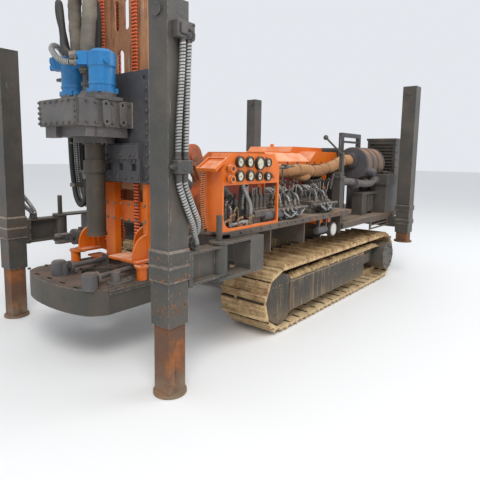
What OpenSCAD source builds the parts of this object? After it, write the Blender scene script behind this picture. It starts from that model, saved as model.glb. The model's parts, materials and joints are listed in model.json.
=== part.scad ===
// Crawler drilling rig with a rotary head on an upright mast and four square jack legs.
// Millimetres. X is across the machine, with the control side at +X. The drill end is at -Y.
// Z is up from the ground under the tracks, and the origin is under the middle of the machine.

/* [Tracks] */
// Middle of the machine to the middle of each track
track_x = 810; // [790:5:840]
// Middle of the tracks along the machine
track_y = 400; // [360:10:440]
// Distance from the front idler's axle to the drive sprocket's axle
wheelbase = 2310; // [2200:10:2400]
// Height of the idler and sprocket axles above the ground
axle_z = 295; // [285:1:305]
// Width of a track shoe
shoe_w = 460; // [420:5:480]
// Number of shoes on one track
shoe_count = 37; // [36:1:38]
// Height of the tall grouser above its shoe plate
grouser_h = 28; // [15:1:32]
// Thickness of a shoe plate
shoe_t = 20; // [16:1:24]
// Height of the chain link from its pin to the shoe, and from its pin to the wheel
link_h = 30; // [26:1:34]

/* [Chassis] */
// Height of the deck plate's upper face
deck_z = 817; // [805:1:830]
// Half width of the deck plate
deck_x = 1030; // [980:5:1060]
// Rear end of the deck plate
deck_rear = 2250; // [2200:10:2300]
// Side of the square front cross beam
beam_s = 160; // [140:2:170]
// Upper face of the front cross beam
beam_top = 857; // [850:1:870]

/* [Jack legs] */
// Side of the square outer leg tube
leg_s = 160; // [150:1:170]
// Wall of the outer leg tube
leg_wall = 10; // [8:1:12]
// Gap between the inner and the outer leg tube on each side
leg_gap = 3; // [2:0.5:4]
// Top of the leg tubes
leg_top = 2340; // [2200:10:2450]
// Bottom of the front outer tubes
front_leg_bottom = 450; // [430:5:500]
// Bottom of the rear outer tubes
rear_leg_bottom = 580; // [560:5:620]
// Middle of the machine to the middle of each front leg and arm pivot
front_leg_x = 1030; // [1000:5:1060]
// Middle of the front legs along the machine
front_leg_y = -2010; // [-2060:5:-1990]
// Middle of the machine to the middle of each rear leg
rear_leg_x = 1185; // [1165:5:1200]
// Middle of the rear legs along the machine
rear_leg_y = 1750; // [1700:10:1800]
// Arm pivot along the machine
arm_pivot_y = -1555; // [-1580:5:-1540]
// Radius of the arm pivot pin
arm_pin_r = 21; // [18:1:24]

/* [Mast] */
// Tilt pivot along the machine
pivot_y = -1200; // [-1210:5:-1190]
// Height of the tilt pivot
pivot_z = 1475; // [1465:5:1500]
// Half width of the mast
mast_x = 330; // [310:5:340]
// Front face of the mast
mast_front = -1580; // [-1590:5:-1575]
// Depth of the mast's side channels
mast_d = 180; // [170:5:190]
// Bottom of the mast's channels
mast_bottom = 660; // [650:5:680]
// Top of the mast's channels
mast_top = 5600; // [5400:50:5800]
// Number of slot rows up the upper front plate
slot_rows = 9; // [7:1:11]

/* [Drill table and head] */
// Drill axis along the machine
drill_y = -1830; // [-1840:5:-1820]
// Upper face of the drill table
table_z = 560; // [550:2:570]
// Height of the drill table's box
table_h = 180; // [160:5:200]
// Half width of the drill table
table_x = 480; // [440:5:500]
// Radius of the hole in the drill table
table_hole_r = 125; // [110:1:135]
// Bottom of the rotary head's gearbox
gearbox_z = 1670; // [1650:5:1700]
// Height of the gearbox
gearbox_h = 190; // [180:5:215]
// Half width of the gearbox
gearbox_x = 265; // [250:5:280]
// Radius of a drive motor's body
motor_r = 98; // [90:1:102]
// Height of a drive motor's body
motor_h = 300; // [280:5:320]
// Radius of the spindle
spindle_r = 72; // [65:1:78]
// Lower end of the spindle
spindle_bottom = 850; // [830:5:900]

/* [Console and machinery] */
// Outer face of the control cabinet
console_x = 1020; // [1000:5:1025]
// Front end of the control cabinet
console_y = -1515; // [-1520:5:-1500]
// Length of the control cabinet
console_l = 690; // [650:10:710]
// Top of the control cabinet
console_top = 1500; // [1480:5:1520]
// Height of the shelf plate that carries the cabinet and the valves
shelf_z = 950; // [940:2:960]
// Half width of the engine hood
hood_x = 500; // [460:10:520]
// Top of the engine hood
hood_top = 1600; // [1580:5:1610]
// Radius of the air cleaner drum
drum_r = 190; // [180:2:194]

/* [Hidden] */
$fn = 48;

// Gap between two pieces that lie against each other
seat = 0.3;

// Track chain: the pins run along a loop of two straights and two half circles
pin_r = axle_z - link_h - shoe_t - grouser_h;
loop_len = 2 * wheelbase + 2 * PI * pin_r;
idler_y = track_y - wheelbase / 2;
sprocket_y = track_y + wheelbase / 2;
half_pitch = loop_len / shoe_count / 2;
// A wheel runs on the middle of the links, which cut the corners of the loop
wheel_r = sqrt(pin_r * pin_r - half_pitch * half_pitch) - link_h - seat;
roller_r = 70;
roller_z = axle_z - pin_r + link_h + seat + roller_r;
link_w = 130;
frame_top = axle_z + 135;
cover_x = track_x + shoe_w / 2 - 40;

collar_t = 9;
collar_s = leg_s + 2 * collar_t;

// Mast and what runs on it
mast_back = mast_front + mast_d;
lug_x = mast_x + 30;
support_x = lug_x + 42;
rail_x = 330;
rail_z0 = 640;
rail_top = deck_z - 17 - seat;
rear_beam_x = rear_leg_x - leg_s / 2 - collar_t - seat;
deck_front = track_y - 30;
beam_y1 = -1130;
beam_y0 = beam_y1 - beam_s;
carriage_front = mast_front - 95;
carriage_back = carriage_front + 40;
gearbox_back = carriage_front - 20;
gearbox_front = gearbox_back - 420;
flange_h = 110;
stub_r = 50;

// Chain wheels: y and z of the axle and the radius, at the foot and at the head
chain_x = 205;
chain_y = mast_front - 42;
chain_d = 34;
chain_foot = [chain_y + chain_d + seat + 62, mast_bottom + 125, 62];
chain_head = [chain_y + chain_d + seat + 62, mast_top - 110, 62];
disc_r = 140;

// Rotary head: middle of each motor and of the swivel, and the shelf where the head's hoses end
motor_x = 180;
motor_y = drill_y - 45;
swivel_y = drill_y - 50;
head_top = gearbox_z + gearbox_h;
motor_z = head_top + 50 + seat;
port_turn = 219;
port_reach = 176;
hose_shelf = [-385, 2080];
return_z = 1330;

// Jack leg sizes
inner_s = leg_s - 2 * leg_wall - 2 * leg_gap;
pad_s = inner_s + 2 * (leg_gap - seat);
foot_clear = 3;
rear_foot_z = rear_leg_bottom - 120;

// Lift cylinder: its base eye on the chassis and its rod's eye on the mast at rest
lift_x = 215;
lift_base = [-300, 920];
lift_eye = [mast_back + 160, pivot_z + 200];
lift_vec = lift_eye - lift_base;
lift_len = norm(lift_vec);
lift_tilt = atan2(lift_vec[1], lift_vec[0]);
lift_barrel_l = 800;
lift_eye_r = 34;
lift_rod_in = 420;

// Engine and what stands round it
engine_y = -60;
engine_z = deck_z + seat;
hood_y0 = -150;
hood_y1 = 1253;
hood_low = 1405;
hood_wall = 12;
drum_x = 700;
drum_y = [1210, 1780];
drum_z = 1415;
shelf_top = shelf_z + seat;
deck_seat = deck_z + seat;
cabinet_wall = 8;
cabinet_floor = shelf_top + cabinet_wall + seat;

// Colours
dark_grey = [0.32, 0.32, 0.30];
rust_brown = [0.50, 0.32, 0.22];
track_tan = [0.62, 0.51, 0.34];
orange = [0.90, 0.43, 0.13];
mast_tan = [0.72, 0.55, 0.38];
gear_grey = [0.36, 0.37, 0.38];
motor_blue = [0.15, 0.47, 0.75];
table_brown = [0.40, 0.35, 0.32];
engine_red = [0.70, 0.26, 0.18];
hose_black = [0.13, 0.13, 0.13];
dial_white = [0.85, 0.84, 0.76];

// Point at distance s along the loop of pins, as [y, z, direction of travel]
function loop_at(s) =
    s < wheelbase ? [idler_y + s, axle_z + pin_r, 0]
    : s < wheelbase + PI * pin_r
        ? let (a = (s - wheelbase) / pin_r * 180 / PI)
          [sprocket_y + pin_r * sin(a), axle_z + pin_r * cos(a), -a]
    : s < 2 * wheelbase + PI * pin_r
        ? [sprocket_y - (s - wheelbase - PI * pin_r), axle_z - pin_r, -180]
    : let (a = (s - 2 * wheelbase - PI * pin_r) / pin_r * 180 / PI)
      [idler_y - pin_r * sin(a), axle_z - pin_r * cos(a), -180 - a];

pins = [for (i = [0 : shoe_count - 1]) let (p = loop_at(i * 2 * half_pitch)) [p[0], p[1]]];
function pin(i) = pins[(i + shoe_count) % shoe_count];
// Outward normal of the chord that a shoe lies on
function chord_dir(i) = (pin(i + 1) - pin(i)) / norm(pin(i + 1) - pin(i));
function turn_left(v) = [-v[1], v[0]];
function chord_point(i, along, out) = pin(i) + chord_dir(i) * along + turn_left(chord_dir(i)) * out;
function chord_len(i) = norm(pin(i + 1) - pin(i));
// Offset of the loop at a pin, along the mean of its two chords' normals
function pin_offset(i, out) =
    let (n = turn_left(chord_dir(i)) + turn_left(chord_dir(i - 1))) pin(i) + n / norm(n) * out;

// Shoe profile rows: share of the pitch along the shoe, height above the shoe plate's outer face
shoe_profile = [[0.04, 0], [0.16, 0], [0.18, 1], [0.27, 1], [0.30, 0], [0.62, 0], [0.64, 0.55],
                [0.72, 0.55], [0.75, 0], [0.96, 0]];

module box(x0, x1, y0, y1, z0, z1) translate([x0, y0, z0]) cube([x1 - x0, y1 - y0, z1 - z0]);

module both_sides() {
    children();
    mirror([1, 0, 0]) children();
}

// Extrudes an outline drawn in (y, z) from x0 to x1
module across(x0, x1) translate([x0, 0, 0]) rotate([90, 0, 90]) linear_extrude(x1 - x0) children();

// Cylinder along X
module axle(x0, x1, y, z, r) translate([x0, y, z]) rotate([0, 90, 0]) cylinder(h = x1 - x0, r = r);

// Cylinder along Y
module along(x, y0, y1, z, r) translate([x, y1, z]) rotate([90, 0, 0]) cylinder(h = y1 - y0, r = r);

// Cylinder between two points
module rod(p, q, r) {
    v = q - p;
    translate(p) rotate([0, acos(v[2] / norm(v)), atan2(v[1], v[0])]) cylinder(h = norm(v), r = r);
}

// Tube swept along a route
function ring_dirs(pts, i) =
    let (n = len(pts), a = pts[max(i - 1, 0)], b = pts[min(i + 1, n - 1)]) (b - a) / norm(b - a);
function side_dir(t) =
    let (u = abs(t[2]) > 0.95 ? [0, 1, 0] : [0, 0, 1], c = cross(t, u)) c / norm(c);
module hose(pts, r, sides = 8) {
    n = len(pts);
    verts = [for (i = [0 : n - 1]) let (t = ring_dirs(pts, i), a = side_dir(t), b = cross(a, t))
        for (k = [0 : sides - 1]) pts[i] + r * (cos(k * 360 / sides) * a + sin(k * 360 / sides) * b)];
    sides_f = [for (i = [0 : n - 2]) for (k = [0 : sides - 1]) let (m = (k + 1) % sides)
        [i * sides + k, i * sides + m, (i + 1) * sides + m, (i + 1) * sides + k]];
    polyhedron(verts, concat(sides_f, [[for (k = [sides - 1 : -1 : 0]) k]],
        [[for (k = [0 : sides - 1]) (n - 1) * sides + k]]), convexity = 6);
}

// Track belt: shoes with two grousers each on a chain of links
module track_belt() {
    outer = [for (i = [0 : shoe_count - 1]) each concat(
        [chord_point(i, 0.035 * chord_len(i), link_h)],
        [for (q = shoe_profile)
            chord_point(i, q[0] * chord_len(i), link_h + shoe_t + q[1] * grouser_h)],
        [chord_point(i, 0.965 * chord_len(i), link_h)])];
    inner = [for (i = [0 : shoe_count - 1]) pin_offset(i, link_h - 8)];
    link_in = [for (i = [0 : shoe_count - 1]) pin_offset(i, -link_h)];
    n = len(outer);
    m = len(inner);
    color(track_tan) {
        across(track_x - shoe_w / 2, track_x + shoe_w / 2)
            polygon(concat(outer, inner), [[for (i = [0 : n - 1]) i], [for (i = [0 : m - 1]) n + i]]);
        across(track_x - link_w / 2, track_x + link_w / 2)
            polygon(concat(inner, link_in), [[for (i = [0 : m - 1]) i], [for (i = [0 : m - 1]) m + i]]);
    }
}
module track_right() track_belt();
module track_left() mirror([1, 0, 0]) track_belt();

// Side frames: the beam in each track, its outer cover plate and its rollers
module side_frames() {
    beam_a = idler_y + wheel_r + 30;
    beam_b = sprocket_y - wheel_r - 30;
    rollers = 6;
    color(dark_grey) both_sides() {
        box(track_x - 140, track_x + 140, beam_a, beam_b, roller_z + roller_r + 8, frame_top);
        box(track_x - 140, track_x - 95, idler_y - 40, beam_a + 1, axle_z - 60, frame_top - 20);
        box(track_x + 95, track_x + 140, idler_y - 40, beam_a + 1, axle_z - 60, frame_top - 20);
        box(track_x + 139, cover_x + 1, beam_a + 100, beam_b - 200, axle_z - 20, axle_z + 80);
        across(cover_x, cover_x + 22) union() {
            translate([idler_y, axle_z]) circle(r = pin_r - 5, $fn = 64);
            translate([idler_y, axle_z - 145]) square([1700, 280]);
        }
        // final drive's mounting plate
        box(track_x - 140, track_x - 100, beam_b - 1, sprocket_y + 120, axle_z - 120, axle_z + 120);
        // bottom rollers and two carrier rollers on their shafts
        for (i = [0 : rollers - 1]) {
            ry = beam_a + 120 + i * (beam_b - beam_a - 240) / (rollers - 1);
            axle(track_x - 62, track_x + 62, ry, roller_z, roller_r);
            box(track_x - 30, track_x + 30, ry - 30, ry + 30, roller_z, roller_z + roller_r + 10);
        }
        for (ry = [track_y - 420, track_y + 480]) {
            axle(track_x - 62, track_x + 62, ry, 2 * axle_z - roller_z + 26, roller_r - 26);
            box(track_x - 30, track_x + 30, ry - 20, ry + 20, frame_top - 1, 2 * axle_z - roller_z + 26);
        }
    }
}

// Front idlers
module idlers() color(rust_brown) both_sides() {
    axle(track_x - 60, track_x + 60, idler_y, axle_z, wheel_r);
    axle(track_x - 94.5, track_x + 94.5, idler_y, axle_z, 45);
}

// Drive sprockets with their hub motors
module final_drives() color(dark_grey) both_sides() {
    axle(track_x - 40, track_x + 40, sprocket_y, axle_z, wheel_r);
    axle(track_x - 99.5, track_x + shoe_w / 2 - 40, sprocket_y, axle_z, 140);
    axle(track_x + 60, track_x + shoe_w / 2 + 40, sprocket_y, axle_z, 165);
    for (a = [0 : 45 : 315])
        axle(track_x + shoe_w / 2 + 39, track_x + shoe_w / 2 + 52, sprocket_y + 125 * cos(a),
            axle_z + 125 * sin(a), 14);
}

// Main frame: two rails, the rear cross beam and the lift cylinders' base eyes
module chassis() {
    color(dark_grey) {
        both_sides() box(rail_x - 60, rail_x + 60, beam_y1 + seat, deck_rear - 40, rail_z0, rail_top);
        box(-rear_beam_x, rear_beam_x, rear_leg_y - 70, rear_leg_y + 70, rail_z0, deck_z - 58);
        box(-rail_x, rail_x, lift_base[0] - 60, lift_base[0] + 60, 700, rail_top);
        for (s = [-1, 1]) difference() {
            for (e = [-1, 1]) box(s * lift_x + e * 45 - 9, s * lift_x + e * 45 + 9,
                lift_base[0] - 50, lift_base[0] + 50, rail_top - 1, lift_base[1] + 50);
            axle(s * lift_x - 60, s * lift_x + 60, lift_base[0], lift_base[1], 22);
        }
        for (s = [-1, 1]) axle(s * lift_x - 56, s * lift_x + 56, lift_base[0], lift_base[1], 22);
    }
}

// Cross tubes that carry the rails on the two side frames
module cross_tubes() color(dark_grey) for (cy = [track_y - 700, track_y + 500]) {
    box(-track_x + 140 + seat, track_x - 140 - seat, cy, cy + 180, axle_z - 20, axle_z + 130);
    both_sides() box(rail_x - 60, rail_x + 60, cy, cy + 180, axle_z + 129, rail_z0 - seat);
}

// Front cross beam with the ears and pins of the swing arms
module front_beam() {
    ear_y = arm_pivot_y;
    color(dark_grey) {
        both_sides() {
            // ears that hold the arm pivot
            for (z = [[beam_top - beam_s - 60, beam_top - beam_s - 40], [beam_top + 27, beam_top + 43]])
                difference() {
                    hull() {
                        translate([front_leg_x, ear_y, z[0]]) cylinder(h = z[1] - z[0], r = 72, $fn = 32);
                        box(front_leg_x - 80, front_leg_x + 70, beam_y0 + 5, beam_y1, z[0], z[1]);
                    }
                    translate([front_leg_x, ear_y, z[0] - 1]) cylinder(h = 30, r = arm_pin_r);
                }
            box(front_leg_x - 80, front_leg_x + 70, beam_y0 + 5, beam_y1, beam_top - beam_s - 41,
                beam_top + 28);
            // pivot pin with a head that stands up
            translate([front_leg_x, ear_y, beam_top - beam_s - 70]) cylinder(h = 450, r = arm_pin_r);
        }
        box(-front_leg_x - 70, front_leg_x + 70, beam_y0, beam_y1, beam_top - beam_s, beam_top);
    }
}

// Deck plate with its edge channels
module deck() color(rust_brown) {
    box(-deck_x, deck_x, deck_front, deck_rear, deck_z - 17, deck_z);
    both_sides() {
        box(deck_x - 12, deck_x, deck_front, deck_rear, deck_z - 57, deck_z - 16);
        // step plate below the edge with two long slots
        difference() {
            box(deck_x - 12, deck_x, 1060, 1640, deck_z - 150, deck_z - 56);
            for (z = [deck_z - 134, deck_z - 96]) box(deck_x - 20, deck_x + 10, 1100, 1600, z, z + 26);
        }
    }
}

// Shelf on the control side with its brackets
module side_shelf() {
    front = deck_front;
    shelf_end = front + 170;
    color(rust_brown) {
        box(620, deck_x, console_y - 10, shelf_end, shelf_z - 15, shelf_z);
        box(840, 950, console_y - 55, console_y, shelf_z - 15, shelf_z);
        box(deck_x - 10, deck_x, console_y + 80, shelf_end, shelf_z - 45, shelf_z - 14);
        for (y = [beam_y1 + 230, beam_y1 + 760, front - 14 - seat])
            box(rail_x + 60 + seat, deck_x - 30, y, y + 14, deck_z - 100, shelf_z - 14);
    }
}

// Uprights with the brackets that the mast tilts on
module mast_support() {
    column_top = 1290;
    color(rust_brown) both_sides() {
        across(support_x, support_x + 90) polygon([[pivot_y - 30, beam_top + seat],
            [pivot_y + 270, beam_top + seat], [pivot_y + 270, 1080], [pivot_y + 190, column_top],
            [pivot_y + 50, column_top], [pivot_y - 30, 1150]]);
        box(rail_x - 50, support_x + 1, pivot_y + 100, pivot_y + 230, deck_z - 17, 1000);
    }
    // horns that hold the tilt pins, with a rib along the lower edge
    color(orange) both_sides() difference() {
        union() {
            across(support_x, support_x + 30) hull() {
                translate([pivot_y, pivot_z]) circle(r = 97);
                translate([pivot_y + 130, column_top - 10]) circle(r = 52);
                translate([pivot_y + 75, column_top - 30]) circle(r = 30);
            }
            across(support_x + 29, support_x + 62) polygon([[pivot_y - 18, 1400], [pivot_y - 4, 1400],
                [pivot_y + 62, column_top - 8], [pivot_y + 130, column_top - 8],
                [pivot_y + 130, column_top - 24], [pivot_y + 46, column_top - 24]]);
        }
        axle(support_x - 1, support_x + 91, pivot_y, pivot_z, 36);
    }
    color(gear_grey) both_sides() axle(lug_x - 26, support_x + 40, pivot_y, pivot_z, 35.95);
}

// Engine as one plain block of its real size
module engine() color(engine_red)
    box(-260, 260, engine_y, engine_y + 1000, engine_z, 1380);

// Faceted engine hood, open below
module hood_form(t) {
    // low front part with chamfered shoulders
    translate([0, hood_y0 + 700, 0]) rotate([90, 0, 0]) linear_extrude(700 - t) polygon([
        [-hood_x + t, hood_low], [-hood_x + t, hood_low + 30 - t / 2], [-hood_x + 120, 1525 - t],
        [hood_x - 120, 1525 - t], [hood_x - t, hood_low + 30 - t / 2], [hood_x - t, hood_low]]);
    // rear part with upright sides, and the raised lid
    across(-hood_x + t, hood_x - t) polygon([[567 + t, hood_low], [567 + t, 1442], [695 + t / 2, 1548 - t],
        [hood_y1 - 63 - t / 2, 1548 - t], [hood_y1 - t, 1456], [hood_y1 - t, hood_low]]);
    across(-300 + t, 300 - t) polygon([[462 + t, 1500], [462 + t, 1540 - t], [520 + t / 2, hood_top - t],
        [hood_y1 - 60 - t / 2, hood_top - t], [hood_y1 - 30 - t, 1500]]);
}
module hood() color(orange) {
    both_sides() {
        box(300, 340, hood_y0 + 55, hood_y0 + 85, deck_z - 17, 1525 - hood_wall + 1);
        box(hood_x - 60, hood_x - 20, 960, 1000, deck_seat, 1548 - hood_wall + 1);
    }
    difference() {
        hood_form(0);
        translate([0, 0, -1]) hood_form(hood_wall);
    }
    translate([-110, 700, hood_top - 1]) cylinder(h = 36, r = 22);
}

// Lagged exhaust pipe along the control side
module exhaust_pipe() color(mast_tan) {
    hose([[345, 90, 1330], [345, 20, 1332], [372, -18, 1334], [430, -42, 1335]], 56, 12);
    hose([[400, -34, 1335], [490, -62, 1335], [575, -50, 1337], [630, 10, 1345], [655, 110, 1352],
        [660, 250, 1345], [660, 400, 1338], [662, 560, 1350], [668, 730, 1378], [678, 880, 1418],
        [drum_x - 10, 990, 1450], [drum_x - 10, 1080, 1458],
        [drum_x - 10, drum_y[0] - 60 - seat, 1458]], 62, 12);
    hose([[560, 60, 1300], [640, 120, 1282], [668, 180, 1280], [650, 260, 1300]], 44, 10);
    box(260 + seat, 400, 20, 110, 1285, 1372);
}

// Air cleaner drum with its bands, inlet and outlet
module air_cleaner() color(rust_brown) {
    y0 = drum_y[0];
    y1 = drum_y[1];
    along(drum_x, y0, y1, drum_z, drum_r);
    for (y = [y0 + 14, y0 + 190, y0 + 340, y1 - 50]) along(drum_x, y, y + 34, drum_z, drum_r + 7);
    along(drum_x, y1 - 1, y1 + 40, drum_z, drum_r - 40);
    // inlet ring with its collar, and the outlet's cone on the outer side
    along(drum_x - 10, y0 - 60, y0 + 1, 1458, 84);
    along(drum_x - 10, y0 - 40, y0 - 16, 1458, 98);
    translate([drum_x + 110, y0 + 90, drum_z - 60]) rotate([0, 108, 0])
        cylinder(h = 165, r1 = 66, r2 = 40);
    for (y = [y0 + 90, y1 - 170])
        box(drum_x - 90, drum_x + 50, y, y + 60, deck_seat, drum_z - drum_r + 34);
    // upright hoop on the inner side
    hoop_x = drum_x - 190;
    difference() {
        box(hoop_x, hoop_x + 48, y0 + 20, y1 - 10, drum_z + 70, 1788);
        box(hoop_x - 1, hoop_x + 49, y0 + 72, y1 - 62, drum_z + 69, 1736);
    }
    box(hoop_x + 12, hoop_x + 36, y0 + 71, y1 - 61, 1668, 1694);
}

// Radiator at the rear
module radiator() color(dark_grey) {
    fin_pitch = 40;
    difference() {
        box(-430, 430, 1400, 1620, deck_seat, 1585);
        for (y = [1390, 1590]) box(-390, 390, y, y + 40, deck_z + 80, 1545);
    }
    // fins in both open faces
    for (i = [0 : 17]) for (y = [1408, 1591]) box(-346 + i * fin_pitch, -334 + i * fin_pitch, y, y + 21,
        deck_z + 79, 1546);
}

// Oil cooler at the rear corner, with a louvred face and a lid
module oil_cooler() color(dark_grey) {
    x0 = 600;
    x1 = 975;
    y0 = drum_y[1] + 120;
    difference() {
        box(x0, x1, y0, 2210, deck_seat, 1715);
        box(x0 + 35, x1 - 35, y0 - 10, y0 + 30, 1330, 1670);
    }
    for (i = [0 : 7]) translate([x0 + 34, y0 + 4, 1350 + i * 40]) rotate([-35, 0, 0]) cube([x1 - x0 - 68, 30, 5]);
    box(x0 - 10, x1 + 10, y0 - 12, 2222, 1714, 1742);
}

// Oil pipe from the engine to the tank, below the air cleaner
module oil_pipe() color(gear_grey) {
    hose([[260 + seat, 860, 1180], [420, 860, 1180], [600, 860, 1200], [735, 885, 1212], [800, 960, 1212],
        [835, 1080, 1195], [855, 1220, 1180], [885, 1350, 1185], [900, 1430, 1222],
        [900, 1510 - seat, 1222]], 44, 10);
    // clamps on the pipe
    for (y = [1010, 1290]) hull() for (e = [0, 22]) translate([842, y + e, 1190]) rotate([90, 0, 0])
        cylinder(h = 2, r = 54, $fn = 20);
}

module fuel_tank() color(dark_grey) {
    box(820, 1015, 1540, 1860, deck_seat, 1170);
    box(856, 1035, 1510, 1880, 1169, 1290);
    translate([960, 1760, 1289]) cylinder(h = 26, r = 46);
}

module battery_box() color(dark_grey) {
    box(772, 900, 1110, 1250, deck_seat, 1062);
    box(765, 915, 1095, 1500, 1061, 1080);
    box(790, 890, 1300, 1460, 845, 1062);
    for (i = [0 : 3]) box(889, 897, 1312 + i * 38, 1332 + i * 38, 850, 1040);
    for (y = [1300, 1446]) box(800, 880, y, y + 14, deck_seat, 846);
}

// Small tank that hangs below the side shelf
module side_tank() color(engine_red) {
    z1 = shelf_z - 15 - seat;
    box(790, 965, -80, 190, z1 - 82, z1);
    for (y = [-40, 140]) box(780, 975, y, y + 24, z1 - 90, z1);
}

// Oil tank on the far side
module hydraulic_tank() color(dark_grey) {
    box(-980, -600, 200, 1250, deck_z + seat, 1350);
    translate([-790, 500, 1349]) cylinder(h = 60, r = 60);
    translate([-790, 1000, 1349]) cylinder(h = 90, r = 75);
}

// Control cabinet, open in its lower part, with a sloped tray at its front end
module console_profile(t) {
    y0 = console_y + t;
    y1 = console_y + console_l - t;
    polygon([[y0, shelf_top + t], [y0, console_top - 115], [y0 + 85, console_top - t],
        [y1 - 75, console_top - t], [y1, console_top - 100], [y1, shelf_top + t]]);
}
module console() {
    x1 = console_x;
    x0 = console_x - 170;
    y0 = console_y;
    y1 = console_y + console_l;
    window_top = console_top - 224;
    color(orange) {
        difference() {
            across(x0, x1) console_profile(0);
            across(x0 + cabinet_wall, x1 - cabinet_wall) console_profile(cabinet_wall);
            // open front below the dials, with a rounded foot at its front end
            across(x1 - 20, x1 + 10) polygon(concat([[y0 + 14, window_top], [y0 + 14, shelf_z + 90]],
                [for (a = [10 : 20 : 90]) [y0 + 94 - 80 * cos(a), shelf_z + 100 - 80 * sin(a)]],
                [[y1 - 20, shelf_z + 20], [y1 - 20, window_top]]));
            across(x0 - 10, x0 + 20) polygon([[y0 + 60, shelf_z + 60], [y0 + 60, console_top - 130],
                [y1 - 60, console_top - 130], [y1 - 60, shelf_z + 60]]);
            // way through for the levers' linkage at the rear end
            box(x0 + 30, x1 - 30, y1 - 20, y1 + 10, shelf_z + 60, window_top);
        }
        // tray with a raised lip at the front end
        translate([x0 - 14, y0 - 62, console_top - 128]) rotate([31, 0, 0]) difference() {
            cube([180, 150, 24]);
            translate([10, 8, 8]) cube([160, 134, 20]);
        }
    }
}

// Dials on the cabinet's face: rows of distance from its front end, distance below its top, radius
dials = [[170, 62, 40], [283, 62, 40], [408, 72, 50], [512, 66, 34],
         [172, 162, 40], [292, 162, 40], [402, 168, 34], [514, 172, 34]];

module dial_discs(x0, x1, trim) for (d = dials)
    axle(x0, x1, console_y + d[0], console_top - d[1], d[2] - trim);

// Dial rims with their recess, and the knobs beside them
module gauges() {
    color("black") difference() {
        dial_discs(console_x + seat, console_x + 28, 0);
        dial_discs(console_x + 16, console_x + 30, 7);
    }
    color(orange) for (z = [108, 180]) {
        axle(console_x + seat, console_x + 20, console_y + 55, console_top - z, 16);
        axle(console_x + 19, console_x + 50, console_y + 55, console_top - z, 28);
    }
    color(orange) axle(console_x + seat, console_x + 20, console_y + 600, console_top - 168, 15);
}

// White faces inside the dials' rims, each with a pointer's hub
module gauge_faces() color(dial_white) {
    dial_discs(console_x + 16 + seat, console_x + 20, 8);
    dial_discs(console_x + 19, console_x + 25, 33);
}

// Valve banks on the shelf: rows of x, y and the number of sections
banks = [[760, -760, 7], [760, -120, 6]];

// Valve sections with their ports, caps and hand levers
module valve_banks() {
    section = 62;
    color(gear_grey) {
        for (b = banks) {
            x = b[0];
            box(x + 10, x + 160, b[1] - 16, b[1] + b[2] * section + 10, shelf_top, shelf_z + 44);
            for (i = [0 : b[2] - 1]) {
                y = b[1] + i * section;
                box(x, x + 170, y, y + section - 8, shelf_z + 43, shelf_z + 120);
                translate([x + 40, y + 27, shelf_z + 119]) cylinder(h = 46, r = 21);
                translate([x + 125, y + 27, shelf_z + 119]) cylinder(h = 26, r = 19);
                axle(x + 169, x + 214, y + 27, shelf_z + 84, 20);
                translate([x + 125, y + 27, shelf_z + 144]) rotate([0, 10, 0]) cylinder(h = 130, r = 7);
                translate([x + 125 + 22, y + 27, shelf_z + 262]) cylinder(h = 28, r = 13);
            }
        }
        // tall spools inside the cabinet on their bar
        box(880, 985, -1085, -870, shelf_z + 60, shelf_z + 110);
        box(900, 960, -1075, -980, cabinet_floor, shelf_z + 61);
        for (i = [0 : 3]) translate([930, -1058 + i * 54, shelf_z + 109]) {
            cylinder(h = 120, r = 19);
            translate([0, 0, 119]) cylinder(h = 60, r = 10);
        }
    }
}

// Hoses of the valve banks: from each section over to the inner side and down to the deck rail
module valve_hoses() color(hose_black) for (b = banks) for (i = [0 : b[2] - 1]) {
    y = b[1] + i * 62 + 27;
    lean = 11 * cos(i * 67);
    hose([[b[0] + 40, y, shelf_z + 165 + seat], [b[0] + 40, y, shelf_z + 190],
        [b[0] + 28, y + lean / 4, shelf_z + 226],
        [b[0] - 22, y + lean, shelf_z + 250 + lean / 3], [b[0] - 74, y + lean, shelf_z + 222],
        [b[0] - 100, y + lean, shelf_z + 140], [b[0] - 100, y + lean, shelf_top]], 15, 8);
}

// Hoses and bent pipes inside and in front of the cabinet
module console_hoses() color(mast_tan) {
    x = console_x;
    front = console_y - 38;
    hose([[x - 144, console_y - 32, console_top - 119], [x - 146, console_y - 36, 1340],
        [x - 152, front, 1230], [x - 150, front, 1120], [x - 134, front, 1020], [x - 122, front, 980],
        [x - 122, front, shelf_top]], 14, 10);
    hose([[x - 8 - seat, -1240, 1330], [x - 38, -1240, 1330], [x - 55, -1228, 1275], [x - 52, -1180, 1190],
        [x - 55, -1130, 1110], [x - 60, -1118, 1030], [x - 60, -1118, cabinet_floor]], 17, 10);
    for (y = [-1340, -1270]) hose([[x - 70, y, cabinet_floor], [x - 70, y, 1040], [x - 76, y + 4, 1088],
        [x - 102, y + 8, 1114], [x - 128, y + 12, 1086], [x - 134, y + 14, 1030],
        [x - 134, y + 14, cabinet_floor]], 13, 10);
    hose([[x - 40, -1410, shelf_z + 42], [x - 44, -1340, shelf_z + 34], [x - 40, -1260, shelf_z + 44],
        [x - 42, -1180, shelf_z + 38]], 15, 10);
    for (y = [-1405, -1215]) box(x - 58, x - 22, y, y + 26, cabinet_floor, shelf_z + 44);
}

// Square post with a hand lever
module lever_post() color(dark_grey) {
    box(790, 880, 560, 650, deck_seat, 1330);
    box(775, 895, 545, 665, 1260, 1285);
    box(836, 876, 602, 646, 1329, 1540);
    rod([858, 604, 1526], [880, 215, 1672], 10);
    translate([881, 198, 1678]) sphere(r = 25, $fn = 20);
    rod([812, 530, 1292], [812, 470, 1150], 9);
    rod([812, 560, 1270], [812, 525, 1296], 9);
    translate([812, 530, 1295]) sphere(r = 16, $fn = 12);
}

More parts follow.
